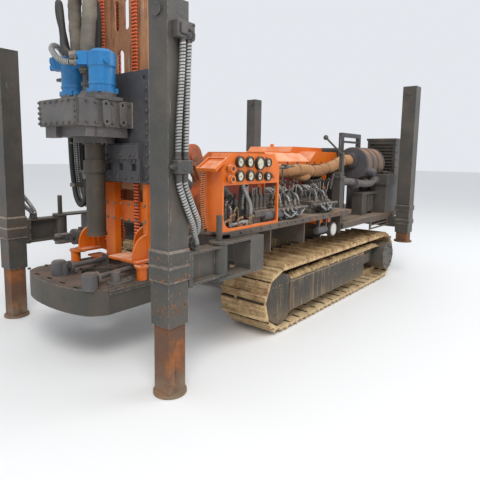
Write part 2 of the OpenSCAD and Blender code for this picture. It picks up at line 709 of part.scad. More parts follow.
// Outer tube of a jack leg standing on (0, 0)
module leg_outer(z0, z1, collars) {
    difference() {
        union() {
            box(-leg_s / 2, leg_s / 2, -leg_s / 2, leg_s / 2, z0, z1);
            for (c = collars) translate([-collar_s / 2, -collar_s / 2, c[0]])
                cube([collar_s, collar_s, c[1] - c[0]]);
        }
        h = leg_s / 2 - leg_wall;
        box(-h, h, -h, h, z0 - 1, z1 - 12);
    }
    along(0, -leg_s / 2 - 14, -leg_s / 2 + 1, z1 - 65, 34);
}

// Hoses down a front leg's rear side, through their lock valve to the swing arm's top
module leg_hoses_right() color(hose_black) {
    x = front_leg_x;
    back = front_leg_y + leg_s / 2 + seat;
    arm_top = beam_top + 21 + seat;
    valve_z = [1345, 1435];
    for (s = [-1, 1]) {
        hose([[x + s * 26, back + 20, leg_top - 120], [x + s * 28, back + 26, leg_top - 190],
            [x + s * 27, back + 40, leg_top - 300], [x + s * 25, back + 34, 1900],
            [x + s * 24, back + 32, 1650], [x + s * 24, back + 32, valve_z[1] - 1]], 19, 8);
        hose([[x + s * 24, back + 32, valve_z[0] + 1], [x + s * 24, back + 34, 1250],
            [x + s * 28, back + 62, 1120], [x + s * 28, back + 100, 1010], [x + s * 28, back + 112, 950],
            [x + s * 28, back + 112, arm_top]], 19, 8);
    }
    box(x - 52, x + 52, back, back + 62, valve_z[0], valve_z[1]);
    box(x - 40, x + 40, back, back + 40, leg_top - 128, leg_top - 80);
}
module leg_hoses_left() mirror([1, 0, 0]) leg_hoses_right();

module leg_inner(z0, z1, foot_r) {
    box(-inner_s / 2, inner_s / 2, -inner_s / 2, inner_s / 2, z0 + 14, z1 - 1);
    box(-pad_s / 2, pad_s / 2, -pad_s / 2, pad_s / 2, z1 - 90, z1);
    translate([0, 0, z0]) cylinder(h = 15, r = foot_r);
}

module rear_leg_tubes() color(dark_grey) both_sides() translate([rear_leg_x, rear_leg_y, 0])
    leg_outer(rear_leg_bottom, leg_top, [[deck_z + 40, deck_z + 95], [690, 740]]);

module front_leg_tube_right() color(dark_grey) translate([front_leg_x, front_leg_y, 0])
    leg_outer(front_leg_bottom, leg_top, [[728, 812], [822, 906]]);
module front_leg_tube_left() mirror([1, 0, 0]) front_leg_tube_right();

module front_leg_right() color(rust_brown) translate([front_leg_x, front_leg_y, 0])
    leg_inner(foot_clear, 1750, 105);
module front_leg_left() mirror([1, 0, 0]) front_leg_right();

module rear_leg_right() color(rust_brown) translate([rear_leg_x, rear_leg_y, 0])
    leg_inner(rear_foot_z, 2200, 105);
module rear_leg_left() mirror([1, 0, 0]) rear_leg_right();

// Swing arm: an H beam from its pivot eye to the leg's bolted plate
module swing_arm_right() {
    z0 = beam_top - beam_s - 34;
    z1 = beam_top + 21;
    y0 = front_leg_y + collar_s / 2 + seat;
    y1 = arm_pivot_y;
    x = front_leg_x;
    color(dark_grey) difference() {
        union() {
            box(x - 7, x + 7, y0 + 10, y1, z0, z1);
            for (z = [z0, z1 - 15]) box(x - 55, x + 55, y0 + 10, y1 - 20, z, z + 15);
            box(x - 80, x + 80, y0, y0 + 30, z0, z1);
            translate([x, y1, z0]) cylinder(h = z1 - z0, r = 58);
            for (dx = [-55, 55]) for (dz = [35, z1 - z0 - 35])
                along(x + dx, y0 + 29, y0 + 44, z0 + dz, 15);
        }
        translate([x, y1, z0 - 1]) cylinder(h = z1 - z0 + 2, r = arm_pin_r + 0.05);
    }
}
module swing_arm_left() mirror([1, 0, 0]) swing_arm_right();

// Frame at the rear that the folded mast lies over
module mast_rest() color(dark_grey) {
    for (s = [-1, 1]) box(s * 300 - 25, s * 300 + 25, 1700, 1750, deck_seat, 1590);
    box(-325, 325, 1700, 1750, 1589, 1614);
}

// Mast: two side channels with a slotted front plate and ties
module slot_column(x, w, l, z0, pitch, rows) for (i = [0 : rows - 1])
    translate([x, mast_front - 10, z0 + i * pitch]) rotate([-90, 0, 0]) linear_extrude(60) union() {
        square([w, l - w], center = true);
        for (e = [-1, 1]) translate([0, e * (l - w) / 2]) circle(r = w / 2);
    }

module mast_beam() {
    tie_pitch = (mast_top - mast_bottom - 560) / 5;
    plate_z = [mast_bottom + 540, 2390, mast_top - 240];
    upper_pitch = (plate_z[2] - plate_z[1]) / slot_rows;
    color(mast_tan) {
        both_sides() difference() {
            box(mast_x - 80, mast_x, mast_front, mast_back, mast_bottom, mast_top);
            box(mast_x - 81, mast_x - 12, mast_front + 14, mast_back - 14, mast_bottom - 1, mast_top + 1);
        }
        // lower front plate with one column of slots, and the plate behind it with two
        difference() {
            box(-mast_x + 79, mast_x - 79, mast_front + 2, mast_front + 14, plate_z[0], plate_z[1]);
            slot_column(0, 84, 240, plate_z[1] - 222, -340, 3);
        }
        difference() {
            box(-mast_x + 79, mast_x - 79, mast_front + 18, mast_front + 30, plate_z[1] - 60, plate_z[2]);
            for (s = [-1, 1]) slot_column(s * 62, 52, upper_pitch * 0.7, plate_z[1] + upper_pitch / 2,
                upper_pitch, slot_rows);
        }
        box(-mast_x + 79, mast_x - 79, mast_front + 13, mast_front + 19, plate_z[1] - 60, plate_z[1] - 20);
        for (i = [0 : 5]) box(-mast_x + 11, mast_x - 11, mast_back - 14 - seat, mast_back,
            mast_bottom + 420 + i * tie_pitch, mast_bottom + 560 + i * tie_pitch);
    }
}

// Tilt lugs on the mast's sides
module mast_lugs() {
    color(orange) both_sides() {
        difference() {
            across(mast_x + seat, lug_x - 2) hull() {
                translate([pivot_y, pivot_z]) circle(r = 80);
                translate([mast_back - 90, pivot_z - 200]) square([10, 420]);
            }
            axle(mast_x - 10, lug_x + 20, pivot_y, pivot_z, 36);
        }
    }
}

// Ears on the mast's back that the lift rods' eyes run in
module lift_ears() {
    color(orange) for (s = [-1, 1]) difference() {
        union() {
            for (e = [-1, 1]) across(s * lift_x + e * 44 - 8, s * lift_x + e * 44 + 8) hull() {
                translate(lift_eye) circle(r = 38);
                translate([mast_back + seat, lift_eye[1] - 120]) square([4, 240]);
            }
            box(s * lift_x - 52, s * lift_x + 52, mast_back + seat, mast_back + 15, lift_eye[1] - 120,
                lift_eye[1] + 120);
        }
        axle(s * lift_x - 60, s * lift_x + 60, lift_eye[0], lift_eye[1], 20);
    }
}

// Orange frame at the mast's foot: posts, cross plate and feet on the table
module mast_foot() {
    face = mast_front - seat;
    front = mast_front - 60;
    base_z = table_z + 110;
    color(orange) {
        // posts on the channels' outer sides, with curved gussets and base plates
        both_sides() {
            box(mast_x + seat, mast_x + 50, front, mast_front + 40, base_z, 1255);
            across(mast_x + 22, mast_x + 42) polygon(concat([[front + 10, base_z]],
                [for (a = [0 : 15 : 90]) [front + 1 - 130 * sin(a), base_z + 50 + 150 * cos(a)]],
                [[front - 129, base_z]]));
        }
        difference() {
            box(57, mast_x + 86, front - 130, face, base_z, base_z + 16);
            box(chain_x + 20, chain_x + 54, front - 40, face + 1, base_z - 1, base_z + 17);
        }
        box(-mast_x - 86, -mast_x + 60, front - 130, face, base_z, base_z + 16);
        // central post and cross plate
        box(-155, -143, front, face, table_z + 52, 1255);
        box(-155, -30, front, front + 14, table_z + 52, 1255);
        box(-42, -30, front, face, table_z + 52, 1255);
        box(-155, mast_x + 50, mast_front - 6, face, 945, 1110);
        box(-342, -148, front - 60, face, table_z + 52, table_z + 66);
        both_sides() translate([mast_x + 115, front - 110, base_z - 22]) difference() {
            hull() {
                cylinder(h = 16, r = 50);
                translate([-60, 20, 0]) cylinder(h = 16, r = 40);
            }
            translate([0, 0, -1]) cylinder(h = 20, r = 14);
        }
        both_sides() box(mast_x + 20, mast_x + 70, front - 120, front - 60, base_z - 8, base_z + 1);
    }
    color(gear_grey) both_sides() translate([mast_x + 115, front - 110, table_z + seat])
        cylinder(h = base_z - 22 - table_z - 2 * seat, r = 40);
}

// Feed chains: a front strand from the foot wheel to the head wheel, and the strand behind it
module feed_chains() color([0.84, 0.43, 0.29]) both_sides() {
    links = 92;
    z0 = chain_foot[1];
    z1 = chain_head[1];
    p = (z1 - z0) / links;
    rear = chain_foot[0] + chain_foot[2] + seat;
    // front strand: each link's ridge stands out of the strand
    across(chain_x - 24, chain_x + 24) polygon(concat([[chain_y + chain_d, z0], [chain_y + 12, z0]],
        [for (i = [0 : links - 1]) each [[chain_y, z0 + (i + 0.3) * p], [chain_y + 12, z0 + (i + 0.9) * p]]],
        [[chain_y + 12, z1], [chain_y + chain_d, z1]]));
    box(chain_x - 22, chain_x + 22, rear, rear + chain_d - 6, z0, z1);
}

// Chain wheels at the mast's foot and head, each on its stub shaft
module chain_wheels() color(orange) for (s = [-1, 1]) for (w = [chain_foot, chain_head]) {
    axle(s * chain_x - 14, s * chain_x + 14, w[0], w[1], w[2]);
    if (s > 0) axle(chain_x, mast_x - 12 - seat, w[0], w[1], 25);
    else axle(-mast_x + 12 + seat, -chain_x, w[0], w[1], 25);
    // guard disc beside the foot wheel
    if (w == chain_foot) axle(s > 0 ? chain_x + 29 : -chain_x - 44, s > 0 ? chain_x + 44 : -chain_x - 29,
        w[0], w[1], disc_r);
}

module mast_head() color(orange) {
    box(-mast_x - 30, mast_x + 30, mast_front - 60, mast_back + 40, mast_top + seat, mast_top + 30);
    both_sides() box(mast_x - 20, mast_x + 30, mast_front - 60, mast_back + 40, mast_top + 29, mast_top + 120);
}

// Cylinder that turns the break-out wrench, with its forked rod end
module breakout_cylinder() {
    x = -450;
    z = 770;
    color(rust_brown) {
        along(x, -1750, -1330, z, 55);
        along(x, -1765, -1735, z, 68);
        along(x, -1360, -1325, z, 62);
        for (y = [-1700, -1400]) translate([x, y, z + 40]) cylinder(h = 38, r = 17);
        box(x, -mast_x - seat, -1480, -1420, z - 40, z + 40);
    }
    color(gear_grey) {
        along(x, -1800, -1764, z, 30);
        for (s = [-1, 1]) difference() {
            hull() {
                box(x - 34, x + 34, -1830, -1800, z + s * 30 - 8, z + s * 30 + 8);
                translate([x, -1890, z + s * 30 - 8]) cylinder(h = 16, r = 40);
            }
            translate([x, -1890, z - 60]) cylinder(h = 120, r = 16);
        }
        box(x - 40, x + 40, -1812, -1796, z - 38, z + 38);
    }
}

// Drill table: a box with a rounded front and the hole that the drill string passes
module drill_table() {
    z0 = table_z - table_h;
    back = mast_back;
    color(table_brown) {
        difference() {
            translate([0, 0, z0]) linear_extrude(table_h) polygon(concat(
                [[table_x, back], [table_x, drill_y - 240], [table_x - 30, drill_y - 290]],
                [for (a = [18 : 12 : 162]) [(table_x - 40) * cos(a), drill_y - 292.3 - 127.7 * sin(a)]],
                [[-table_x + 30, drill_y - 290], [-table_x, drill_y - 240], [-table_x, back]]));
            translate([0, drill_y, z0 - 1]) cylinder(h = table_h + 2, r = table_hole_r);
            box(-table_x + 14, table_x - 14, drill_y + table_hole_r + 20, back - 14, z0 - 1, table_z - 20);
            // finger slots in the table's nose
            for (x = [-270, -90, 90, 270]) translate([x, drill_y - 350, table_z - 30]) hull()
                for (e = [-1, 1]) translate([e * 22, 0, 0]) cylinder(h = 40, r = 14, $fn = 20);
        }
        // lip along each side, and plates that join the table to the mast's channels
        both_sides() {
            box(table_x - 1, table_x + 16, drill_y - 230, back, table_z - 34, table_z - 8);
            box(mast_x - 70, mast_x - 20, mast_front + 60, mast_back - 10, table_z - 1, mast_bottom - seat);
        }
    }
}

// Clamp rods on the table: rows of x at the ring, y from the drill axis, x at the foot, post's offset
clamps = [[-70, -235, -112, -44], [352, -290, 292, 28]];

// Clamp rods with their end rings, on posts that stand on the table
module table_clamps() {
    z = table_z;
    rod_z = z + 62;
    color(gear_grey) {
        // two rods, each from its ring at the post to a block before the mast's foot
        for (c = clamps) {
            rod([c[0], drill_y + c[1], rod_z], [c[2], mast_front - 100, rod_z], 19);
            translate([c[0], drill_y + c[1], z + seat]) cylinder(h = 94, r = 26);
            difference() {
                along(c[0] + 6, drill_y + c[1] + 34, drill_y + c[1] + 52, rod_z, 46);
                box(c[0] - 60, c[0] + 70, drill_y + c[1] + 30, drill_y + c[1] + 56, z - 20, z + seat);
            }
            translate([c[0] + c[3], drill_y + c[1] - 24, z + seat]) cylinder(h = 104, r = 54);
            translate([c[0] + c[3], drill_y + c[1] - 24, z + 104]) cylinder(h = 8, r = 44);
            box(c[2] - 34, c[2] + 34, mast_front - 112, mast_front - 92, z + seat, z + 92);
        }
        // link with an eye round its post
        translate([400, -1950, z + seat]) cylinder(h = 90, r = 36);
        hull() {
            translate([400, -1950, z + seat]) cylinder(h = 18, r = 60);
            translate([412, -1840, z + seat]) cylinder(h = 18, r = 30);
        }
        translate([412, -1840, z + seat]) cylinder(h = 30, r = 17);
    }
}

// Carriage: the plate that slides on the mast, with its guides and lower slide plate
module carriage() {
    z0 = 1270;
    z1 = 2085;
    color(gear_grey) {
        difference() {
            box(-450, 450, carriage_front, carriage_back, z0, z1);
            // two bolt pockets in the plate's upper corners
            for (x = [-400, 400]) translate([x, carriage_front - 1, z1 - 60]) rotate([-90, 0, 0])
                cylinder(h = 16, r = 22);
        }
        both_sides() {
            box(mast_x + 5.3, 450, carriage_back - 1, mast_front + 50, z0 + 40, z1 - 40);
            box(mast_x - 60, mast_x + 6, carriage_back - 1, mast_front - seat, z0 + 40, z0 + 200);
            box(mast_x - 60, mast_x + 6, carriage_back - 1, mast_front - seat, z1 - 200, z1 - 40);
        }
        // lower slide plate with three square windows and its bolts' strip
        difference() {
            box(-68, 383, carriage_front - 40, carriage_front + 1, z0, z0 + 290);
            for (x = [10, 165, 320]) box(x - 30, x + 30, carriage_front - 60, carriage_front - 8,
                z0 + 84, z0 + 140);
        }
        box(-68, 383, carriage_front - 52, carriage_front - 39, z0 + 176, z0 + 276);
        // shelf for the ends of the head's hoses, and the bracket where the hanging ones come back
        box(hose_shelf[0] - 120, hose_shelf[0] + 94, carriage_front - 165, carriage_front + 1,
            hose_shelf[1] - 22, hose_shelf[1]);
        box(hose_shelf[0] + 93, hose_shelf[0] + 155, carriage_front - 65, carriage_front + 1,
            hose_shelf[1] - 22, hose_shelf[1]);
        box(hose_shelf[0] + 175, hose_shelf[0] + 255, carriage_front - 165, carriage_front + 1,
            return_z, return_z + 20);
    }
}

// Gearbox with its bolted front cover, lugs and lower flange
module gearbox() {
    z1 = head_top;
    color(gear_grey) {
        box(-gearbox_x, gearbox_x, gearbox_front, carriage_front - seat, gearbox_z, z1);
        box(-gearbox_x + 20, gearbox_x - 20, gearbox_front - 14, gearbox_front + 1, gearbox_z + 8, z1 - 8);
        // lugs with a bolt hole at each end, on both sides
        both_sides() for (y = [gearbox_front + 190, gearbox_front + 330]) difference() {
            across(gearbox_x - 1, gearbox_x + 30) hull() {
                translate([y, z1 - 34]) circle(r = 27);
                translate([y + 6, gearbox_z + 34]) circle(r = 27);
            }
            for (h = [[y, z1 - 34], [y + 6, gearbox_z + 34]]) axle(gearbox_x + 10, gearbox_x + 31, h[0], h[1], 11);
        }
        difference() {
            union() {
                box(-gearbox_x + 15, gearbox_x - 15, gearbox_front + 60, carriage_front - 40 - seat,
                    gearbox_z - flange_h + 40, gearbox_z + 1);
                translate([0, drill_y, gearbox_z - flange_h]) cylinder(h = flange_h, r = 152);
                box(-gearbox_x + 40, -80, gearbox_front + 20, gearbox_front + 70, gearbox_z - 80, gearbox_z + 1);
            }
            translate([0, drill_y, gearbox_z - flange_h - 1]) cylinder(h = 62, r = stub_r + 0.05);
        }
        // two stacked plates below each motor
        for (s = [-1, 1]) translate([s * motor_x, motor_y, z1 - 1]) {
            linear_extrude(23) offset(r = 25) square([150, 190], center = true);
            cylinder(h = 51, r = 102);
        }
    }
}

// Two hydraulic motors on top of the gearbox
module motor_head() {
    // port block on the outer front side with its two ports, and the small plug opposite
    rotate([0, 0, port_turn]) {
        translate([40, -44, motor_h - 108]) cube([112, 88, 92]);
        for (z = [motor_h - 88, motor_h - 38]) translate([0, 0, z]) rotate([0, 90, 0])
            cylinder(h = port_reach, r = z > motor_h - 60 ? 26 : 23);
    }
    rotate([0, 0, -18]) translate([0, 0, motor_h - 84]) rotate([0, 90, 0]) cylinder(h = motor_r + 26, r = 22);
}
module drive_motors() color(motor_blue) for (s = [-1, 1]) translate([s * motor_x, motor_y, motor_z]) {
    cylinder(h = 26, r = motor_r + 4);
    cylinder(h = motor_h - 118, r = motor_r - 5);
    translate([0, 0, 56]) cylinder(h = 16, r = motor_r);
    translate([0, 0, motor_h - 130]) cylinder(h = 16, r1 = motor_r - 5, r2 = motor_r + 3);
    translate([0, 0, motor_h - 115]) cylinder(h = 90, r = motor_r + 3);
    translate([0, 0, motor_h - 26]) cylinder(h = 26, r1 = motor_r + 3, r2 = motor_r - 34);
    motor_head();
    for (a = [45 : 90 : 315]) rotate([0, 0, a]) translate([motor_r + 2, 0, 0]) cylinder(h = 34, r = 13);
}

// Swivel between the motors, with the air inlet's bend
module swivel() {
    color(gear_grey) translate([0, swivel_y, head_top + seat]) {
        cylinder(h = 34, r = 77);
        translate([0, 0, 33]) cylinder(h = 44, r1 = 74, r2 = 44);
        translate([0, 0, 76]) cylinder(h = 40, r = 34);
        translate([0, 0, 115]) cylinder(h = 26, r = 44, $fn = 6);
        translate([0, 0, 140]) cylinder(h = 60, r = 31);
        for (a = [0 : 60 : 300]) rotate([0, 0, a + 15]) translate([63, 0, 33]) cylinder(h = 12, r = 9, $fn = 6);
    }
}

// Hoses of the rotary head: each rises, turns over to the far side and ends on the carriage's shelf
module head_hoses() color(hose_black) {
    sx = hose_shelf[0];
    sz = hose_shelf[1] + seat;
    ty = carriage_front;
    port = [cos(port_turn), sin(port_turn), 0];
    port_end = [motor_x, motor_y, motor_z] + port * (port_reach + seat);
    upper = port_end + [0, 0, motor_h - 38];
    lower = port_end + [0, 0, motor_h - 88];
    // thick air hose of the swivel
    hose([[0, swivel_y, head_top + 200 + 2 * seat], [0, swivel_y, 2130], [10, swivel_y, 2210],
        [22, swivel_y, 2320], [18, swivel_y + 20, 2480], [-20, swivel_y + 50, 2640], [-90, swivel_y + 80, 2740],
        [-190, swivel_y + 105, 2785], [-290, swivel_y + 118, 2745], [-340, swivel_y + 124, 2640],
        [-350, swivel_y + 132, 2480], [-350, swivel_y + 140, 2280], [-350, swivel_y + 140, sz]], 55, 12);
    // the two hoses of the near motor
    hose([upper, upper + port * 40, [-60, -2014, 2212], [-112, -1995, 2268], [-165, -1965, 2335],
        [-215, -1945, 2440], [-262, -1925, 2545], [-310, -1905, 2610], [-366, -1880, 2618],
        [-412, -1850, 2545], [-455, -1790, 2420], [-474, -1740, 2260], [-474, -1718, 2140],
        [-474, -1718, sz]], 25, 10);
    hose([lower, lower + port * 44, [-70, -2040, 2140], [-150, -2034, 2178], [-230, -2012, 2222],
        [-300, -1985, 2264], [-350, -1940, 2300], [-384, -1890, 2306], [-416, -1840, 2284],
        [-428, -1802, 2220], [-425, -1786, 2140], [-425, -1786, sz]], 22, 10);
    // hose behind the motors
    hose([[-52, ty - 50, head_top + seat], [-52, ty - 50, 1960], [-54, ty - 56, 2100],
        [-56, ty - 66, 2300], [-54, ty - 66, 2490], [-80, ty - 62, 2600], [-140, ty - 56, 2668],
        [-205, ty - 50, 2655], [-250, ty - 46, 2570],
        [-262, ty - 40, 2430], [-262, ty - 34, 2250], [-262, ty - 34, sz]], 26, 10);
    // three hoses that hang from the shelf and come back to the bracket, held by a clamp
    for (i = [0 : 2]) {
        y = ty - 36 - i * 48;
        hose([[sx, y, hose_shelf[1] - 22 - seat], [sx, y, 1960], [sx + 4, y, 1860],
            [sx + 8, y, 1650], [sx + 20, y, 1400], [sx + 50, y, 1200], [sx + 80, y, 1112],
            [sx + 130, y, 1066], [sx + 182, y, 1090],
            [sx + 210, y, 1165], [sx + 215, y, 1250], [sx + 215, y, return_z - seat]], 21, 8);
    }
    box(sx + 22, sx + 76, ty - 160, ty - 8, 1208, 1240);
}

// Spindle that the motors turn
module spindle() color(rust_brown) translate([0, drill_y, 0]) {
    translate([0, 0, spindle_bottom]) cylinder(h = gearbox_z - flange_h - spindle_bottom - 1, r = spindle_r);
    translate([0, 0, gearbox_z - flange_h - 2]) cylinder(h = 58, r = stub_r);
    translate([0, 0, 1340]) cylinder(h = 90, r = spindle_r + 14);
    translate([0, 0, spindle_bottom]) cylinder(h = 24, r = spindle_r + 6);
}

// Lift cylinders that raise the mast
module lift_frame() translate([0, lift_base[0], lift_base[1]]) rotate([lift_tilt - 90, 0, 0]) children();
module lift_barrels() color(gear_grey) lift_frame() for (s = [-1, 1]) translate([s * lift_x, 0, 0]) {
    difference() {
        union() {
            rotate([0, 90, 0]) translate([0, 0, -33]) cylinder(h = 66, r = 45);
            translate([-33, -30, 0]) cube([66, 60, 96]);
            translate([0, 0, 95]) cylinder(h = lift_barrel_l - 95, r = 50);
        }
        rotate([0, 90, 0]) translate([0, 0, -40]) cylinder(h = 80, r = 22.05);
        translate([0, 0, 120]) cylinder(h = lift_barrel_l, r = 30.3);
    }
}
module lift_rods() color("silver") lift_frame() for (s = [-1, 1]) translate([s * lift_x, 0, 0]) {
    difference() {
        union() {
            translate([0, 0, lift_rod_in]) cylinder(h = lift_len - lift_rod_in - 20, r = 30);
            rotate([0, 90, 0]) translate([-lift_len, 0, -28]) cylinder(h = 56, r = lift_eye_r);
        }
        rotate([0, 90, 0]) translate([-lift_len, 0, -40]) cylinder(h = 80, r = 20);
    }
}

track_right();
track_left();
side_frames();
idlers();
final_drives();
chassis();
cross_tubes();
front_beam();
deck();
side_shelf();
mast_support();
engine();
hood();
exhaust_pipe();
air_cleaner();
radiator();
oil_cooler();
oil_pipe();
fuel_tank();
hydraulic_tank();
battery_box();
side_tank();
console();
gauges();
gauge_faces();
valve_banks();
valve_hoses();
console_hoses();
lever_post();
rear_leg_tubes();
mast_rest();
mast_beam();
mast_lugs();
lift_ears();
mast_foot();
feed_chains();
chain_wheels();
mast_head();
breakout_cylinder();
drill_table();
table_clamps();
carriage();
gearbox();
drive_motors();
swivel();
head_hoses();
spindle();
swing_arm_right();
swing_arm_left();
front_leg_tube_right();
front_leg_tube_left();
front_leg_right();
front_leg_left();
rear_leg_right();
rear_leg_left();
lift_barrels();
lift_rods();
leg_hoses_right();
leg_hoses_left();
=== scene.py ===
# %% [markdown]
# A drilling rig on crawler tracks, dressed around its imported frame.
# The frame holds every solid at its real size and place, in metres, with Z up and the drill end at -Y.
# Here each solid gets its worn, rusty or painted finish, and the small things that make it a used machine
# are added: hoses with their spiral guards, chains, bolts, welds, dials, lagging and mud. Nothing in the
# frame is moved.

# %% Load the frame
import bisect
import json
import math
import random

import bmesh
import bpy
from mathutils import Matrix, Vector, noise as field


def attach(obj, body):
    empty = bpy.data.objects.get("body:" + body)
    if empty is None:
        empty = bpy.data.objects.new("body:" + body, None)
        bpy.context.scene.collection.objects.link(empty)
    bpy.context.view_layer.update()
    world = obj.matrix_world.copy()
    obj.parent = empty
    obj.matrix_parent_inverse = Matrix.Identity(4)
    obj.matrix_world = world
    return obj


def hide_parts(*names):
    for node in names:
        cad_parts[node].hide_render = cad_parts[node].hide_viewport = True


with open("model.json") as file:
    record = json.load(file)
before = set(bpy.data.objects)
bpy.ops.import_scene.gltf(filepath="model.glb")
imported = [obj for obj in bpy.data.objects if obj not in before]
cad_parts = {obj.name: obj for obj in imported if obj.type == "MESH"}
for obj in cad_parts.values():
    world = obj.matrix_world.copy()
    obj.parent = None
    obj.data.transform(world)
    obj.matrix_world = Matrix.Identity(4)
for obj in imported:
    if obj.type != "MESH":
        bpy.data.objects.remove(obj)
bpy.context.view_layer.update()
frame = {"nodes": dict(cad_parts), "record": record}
NODES = frame["nodes"]
scene = bpy.context.scene

# %% [markdown]
# The camera stands near the front corner at eye height. It is turned to the left of the machine's length,
# tipped a little down and rolled by one degree, as someone holds a phone. A lens is described by its focal
# length in pixels, because that is what straight edges in a picture give. The picture's optical axis lies
# above its middle, so a small vertical shift moves the frame down.

# %% Camera
IMAGE_PX = 480.0
FOCAL_PX = 442.8
AXIS_PX = (240.0, 213.5)
CAMERA_AT = Vector((3.0, -3.8, 1.472))
YAW, PITCH, ROLL = (math.radians(a) for a in (38.60, 7.259, -0.9465))


def camera_axes():
    """Right, up and backward directions of the camera in the frame."""
    ahead = Vector((-math.sin(YAW) * math.cos(PITCH), math.cos(YAW) * math.cos(PITCH), -math.sin(PITCH)))
    right = Vector((math.cos(YAW), math.sin(YAW), 0.0))
    down = ahead.cross(right)
    turned_right = math.cos(ROLL) * right + math.sin(ROLL) * down
    turned_down = -math.sin(ROLL) * right + math.cos(ROLL) * down
    return turned_right, -turned_down, -ahead


def make_camera():
    data = bpy.data.cameras.new("camera")
    data.sensor_width = 36.0
    data.lens = FOCAL_PX / IMAGE_PX * data.sensor_width
    data.shift_x = (IMAGE_PX / 2 - AXIS_PX[0]) / IMAGE_PX
    data.shift_y = (AXIS_PX[1] - IMAGE_PX / 2) / IMAGE_PX
    data.clip_start = 0.05
    data.clip_end = 200.0
    camera = bpy.data.objects.new("camera", data)
    scene.collection.objects.link(camera)
    turn = Matrix(camera_axes()).transposed().to_4x4()
    camera.matrix_world = Matrix.Translation(CAMERA_AT) @ turn
    scene.camera = camera
    return camera


CAMERA = make_camera()
print("camera at", tuple(CAMERA_AT), "lens", round(CAMERA.data.lens, 1), "mm")

# %% [markdown]
# The floor is one wide pale plane with an even colour, and the world is a soft white sky, as on an overcast
# day. A big area lamp high in front gives the forms some shape, and a weaker one fills in from the control
# side. The floor only takes the shadow.

# %% Floor, sky and lamps
FLOOR_COLOUR = (0.80, 0.80, 0.79, 1.0)
FLOOR_HALF, FLOOR_DROP = 60.0, 0.0005


def make_floor():
    mesh = bpy.data.meshes.new("floor")
    corners = [(x * FLOOR_HALF, y * FLOOR_HALF, 0) for x, y in ((-1, -1), (1, -1), (1, 1), (-1, 1))]
    mesh.from_pydata(corners, [], [(0, 1, 2, 3)])
    floor = bpy.data.objects.new("floor", mesh)
    scene.collection.objects.link(floor)
    floor.location.z = -FLOOR_DROP
    material = bpy.data.materials.new("floor")
    material.use_nodes = True
    shader = material.node_tree.nodes["Principled BSDF"]
    shader.inputs["Base Color"].default_value = FLOOR_COLOUR
    shader.inputs["Roughness"].default_value = 0.9
    mesh.materials.append(material)


def make_sky():
    world = bpy.data.worlds.new("sky")
    world.use_nodes = True
    background = world.node_tree.nodes["Background"]
    background.inputs["Color"].default_value = (0.92, 0.95, 1.0, 1.0)
    background.inputs["Strength"].default_value = 0.85
    scene.world = world


def make_lamp(name, where, towards, size, power, tint):
    data = bpy.data.lights.new(name, "AREA")
    data.shape = "DISK"
    data.size = size
    data.energy = power
    data.color = tint
    lamp = bpy.data.objects.new(name, data)
    scene.collection.objects.link(lamp)
    lamp.location = where
    aim = Vector(towards) - Vector(where)
    lamp.rotation_euler = aim.to_track_quat("-Z", "Y").to_euler()


make_floor()
make_sky()
make_lamp("key", (5.5, -6.0, 9.0), (0, 0, 1.2), 5.0, 620.0, (1.0, 0.98, 0.95))
make_lamp("fill", (6.0, 5.0, 6.0), (0, 0, 1.0), 6.0, 230.0, (0.95, 0.97, 1.0))
scene.view_settings.view_transform = "Standard"

# %% [markdown]
# Wear is the same few effects on every part, so each is a shader node group made once. Each group takes its
# place from the piece's own coordinates in metres, so a patch of rust is as big on a leg as on the mast, and
# it stays on the piece when that moves. A small helper links nodes by name to keep the groups readable.

# %% Helpers for shader groups


def new_group(name, inputs, outputs):
    """A shader group with float, vector or colour sockets: inputs are (name, kind, default)."""
    kinds = {"float": "NodeSocketFloat", "colour": "NodeSocketColor", "vector": "NodeSocketVector"}
    group = bpy.data.node_groups.new(name, "ShaderNodeTree")
    for label, kind, default in inputs:
        socket = group.interface.new_socket(label, in_out="INPUT", socket_type=kinds[kind])
        socket.default_value = default
    for label, kind in outputs:
        group.interface.new_socket(label, in_out="OUTPUT", socket_type=kinds[kind])
    return group, group.nodes.new("NodeGroupInput"), group.nodes.new("NodeGroupOutput")


def join(tree, socket, value):
    """Links a socket to another one, or sets its plain value."""
    if isinstance(value, bpy.types.NodeSocket):
        tree.links.new(value, socket)
    else:
        socket.default_value = value


def add(tree, kind, settings=None, **values):
    """A node of that kind, with its settings and the values or links of its inputs by name."""
    node = tree.nodes.new(kind)
    for key, value in (settings or {}).items():
        setattr(node, key, value)
    for key, value in values.items():
        by_number = key[0] == "i" and key[1:].isdigit()
        join(tree, node.inputs[int(key[1:])] if by_number else node.inputs[key.replace("_", " ")], value)
    return node


def calc(tree, operation, a, b, clamp=False):
    """Output of one Math node."""
    return add(tree, "ShaderNodeMath", {"operation": operation, "use_clamp": clamp}, i0=a, i1=b).outputs[0]


def times(tree, a, b, clamp=False):
    return calc(tree, "MULTIPLY", a, b, clamp)


def plus(tree, a, b):
    return calc(tree, "ADD", a, b)


def minus(tree, a, b):
    return calc(tree, "SUBTRACT", a, b)


def ramp(tree, value, low, high):
    """A smooth step from 0 at low to 1 at high."""
    node = add(tree, "ShaderNodeMapRange", {"interpolation_type": "SMOOTHSTEP"}, Value=value)
    join(tree, node.inputs["From Min"], low)
    join(tree, node.inputs["From Max"], high)
    return node.outputs["Result"]


def mix(tree, factor, a, b):
    """Output of one colour Mix node."""
    node = tree.nodes.new("ShaderNodeMix")
    node.data_type = "RGBA"
    for index, value in ((0, factor), (6, a), (7, b)):
        join(tree, node.inputs[index], value)
    return node.outputs[2]


def noise(tree, place, scale, detail=4.0, roughness=0.55):
    """Fac of one Noise texture at a place."""
    node = add(tree, "ShaderNodeTexNoise", Vector=place, Detail=detail, Roughness=roughness)
    join(tree, node.inputs["Scale"], scale)
    return node.outputs["Fac"]


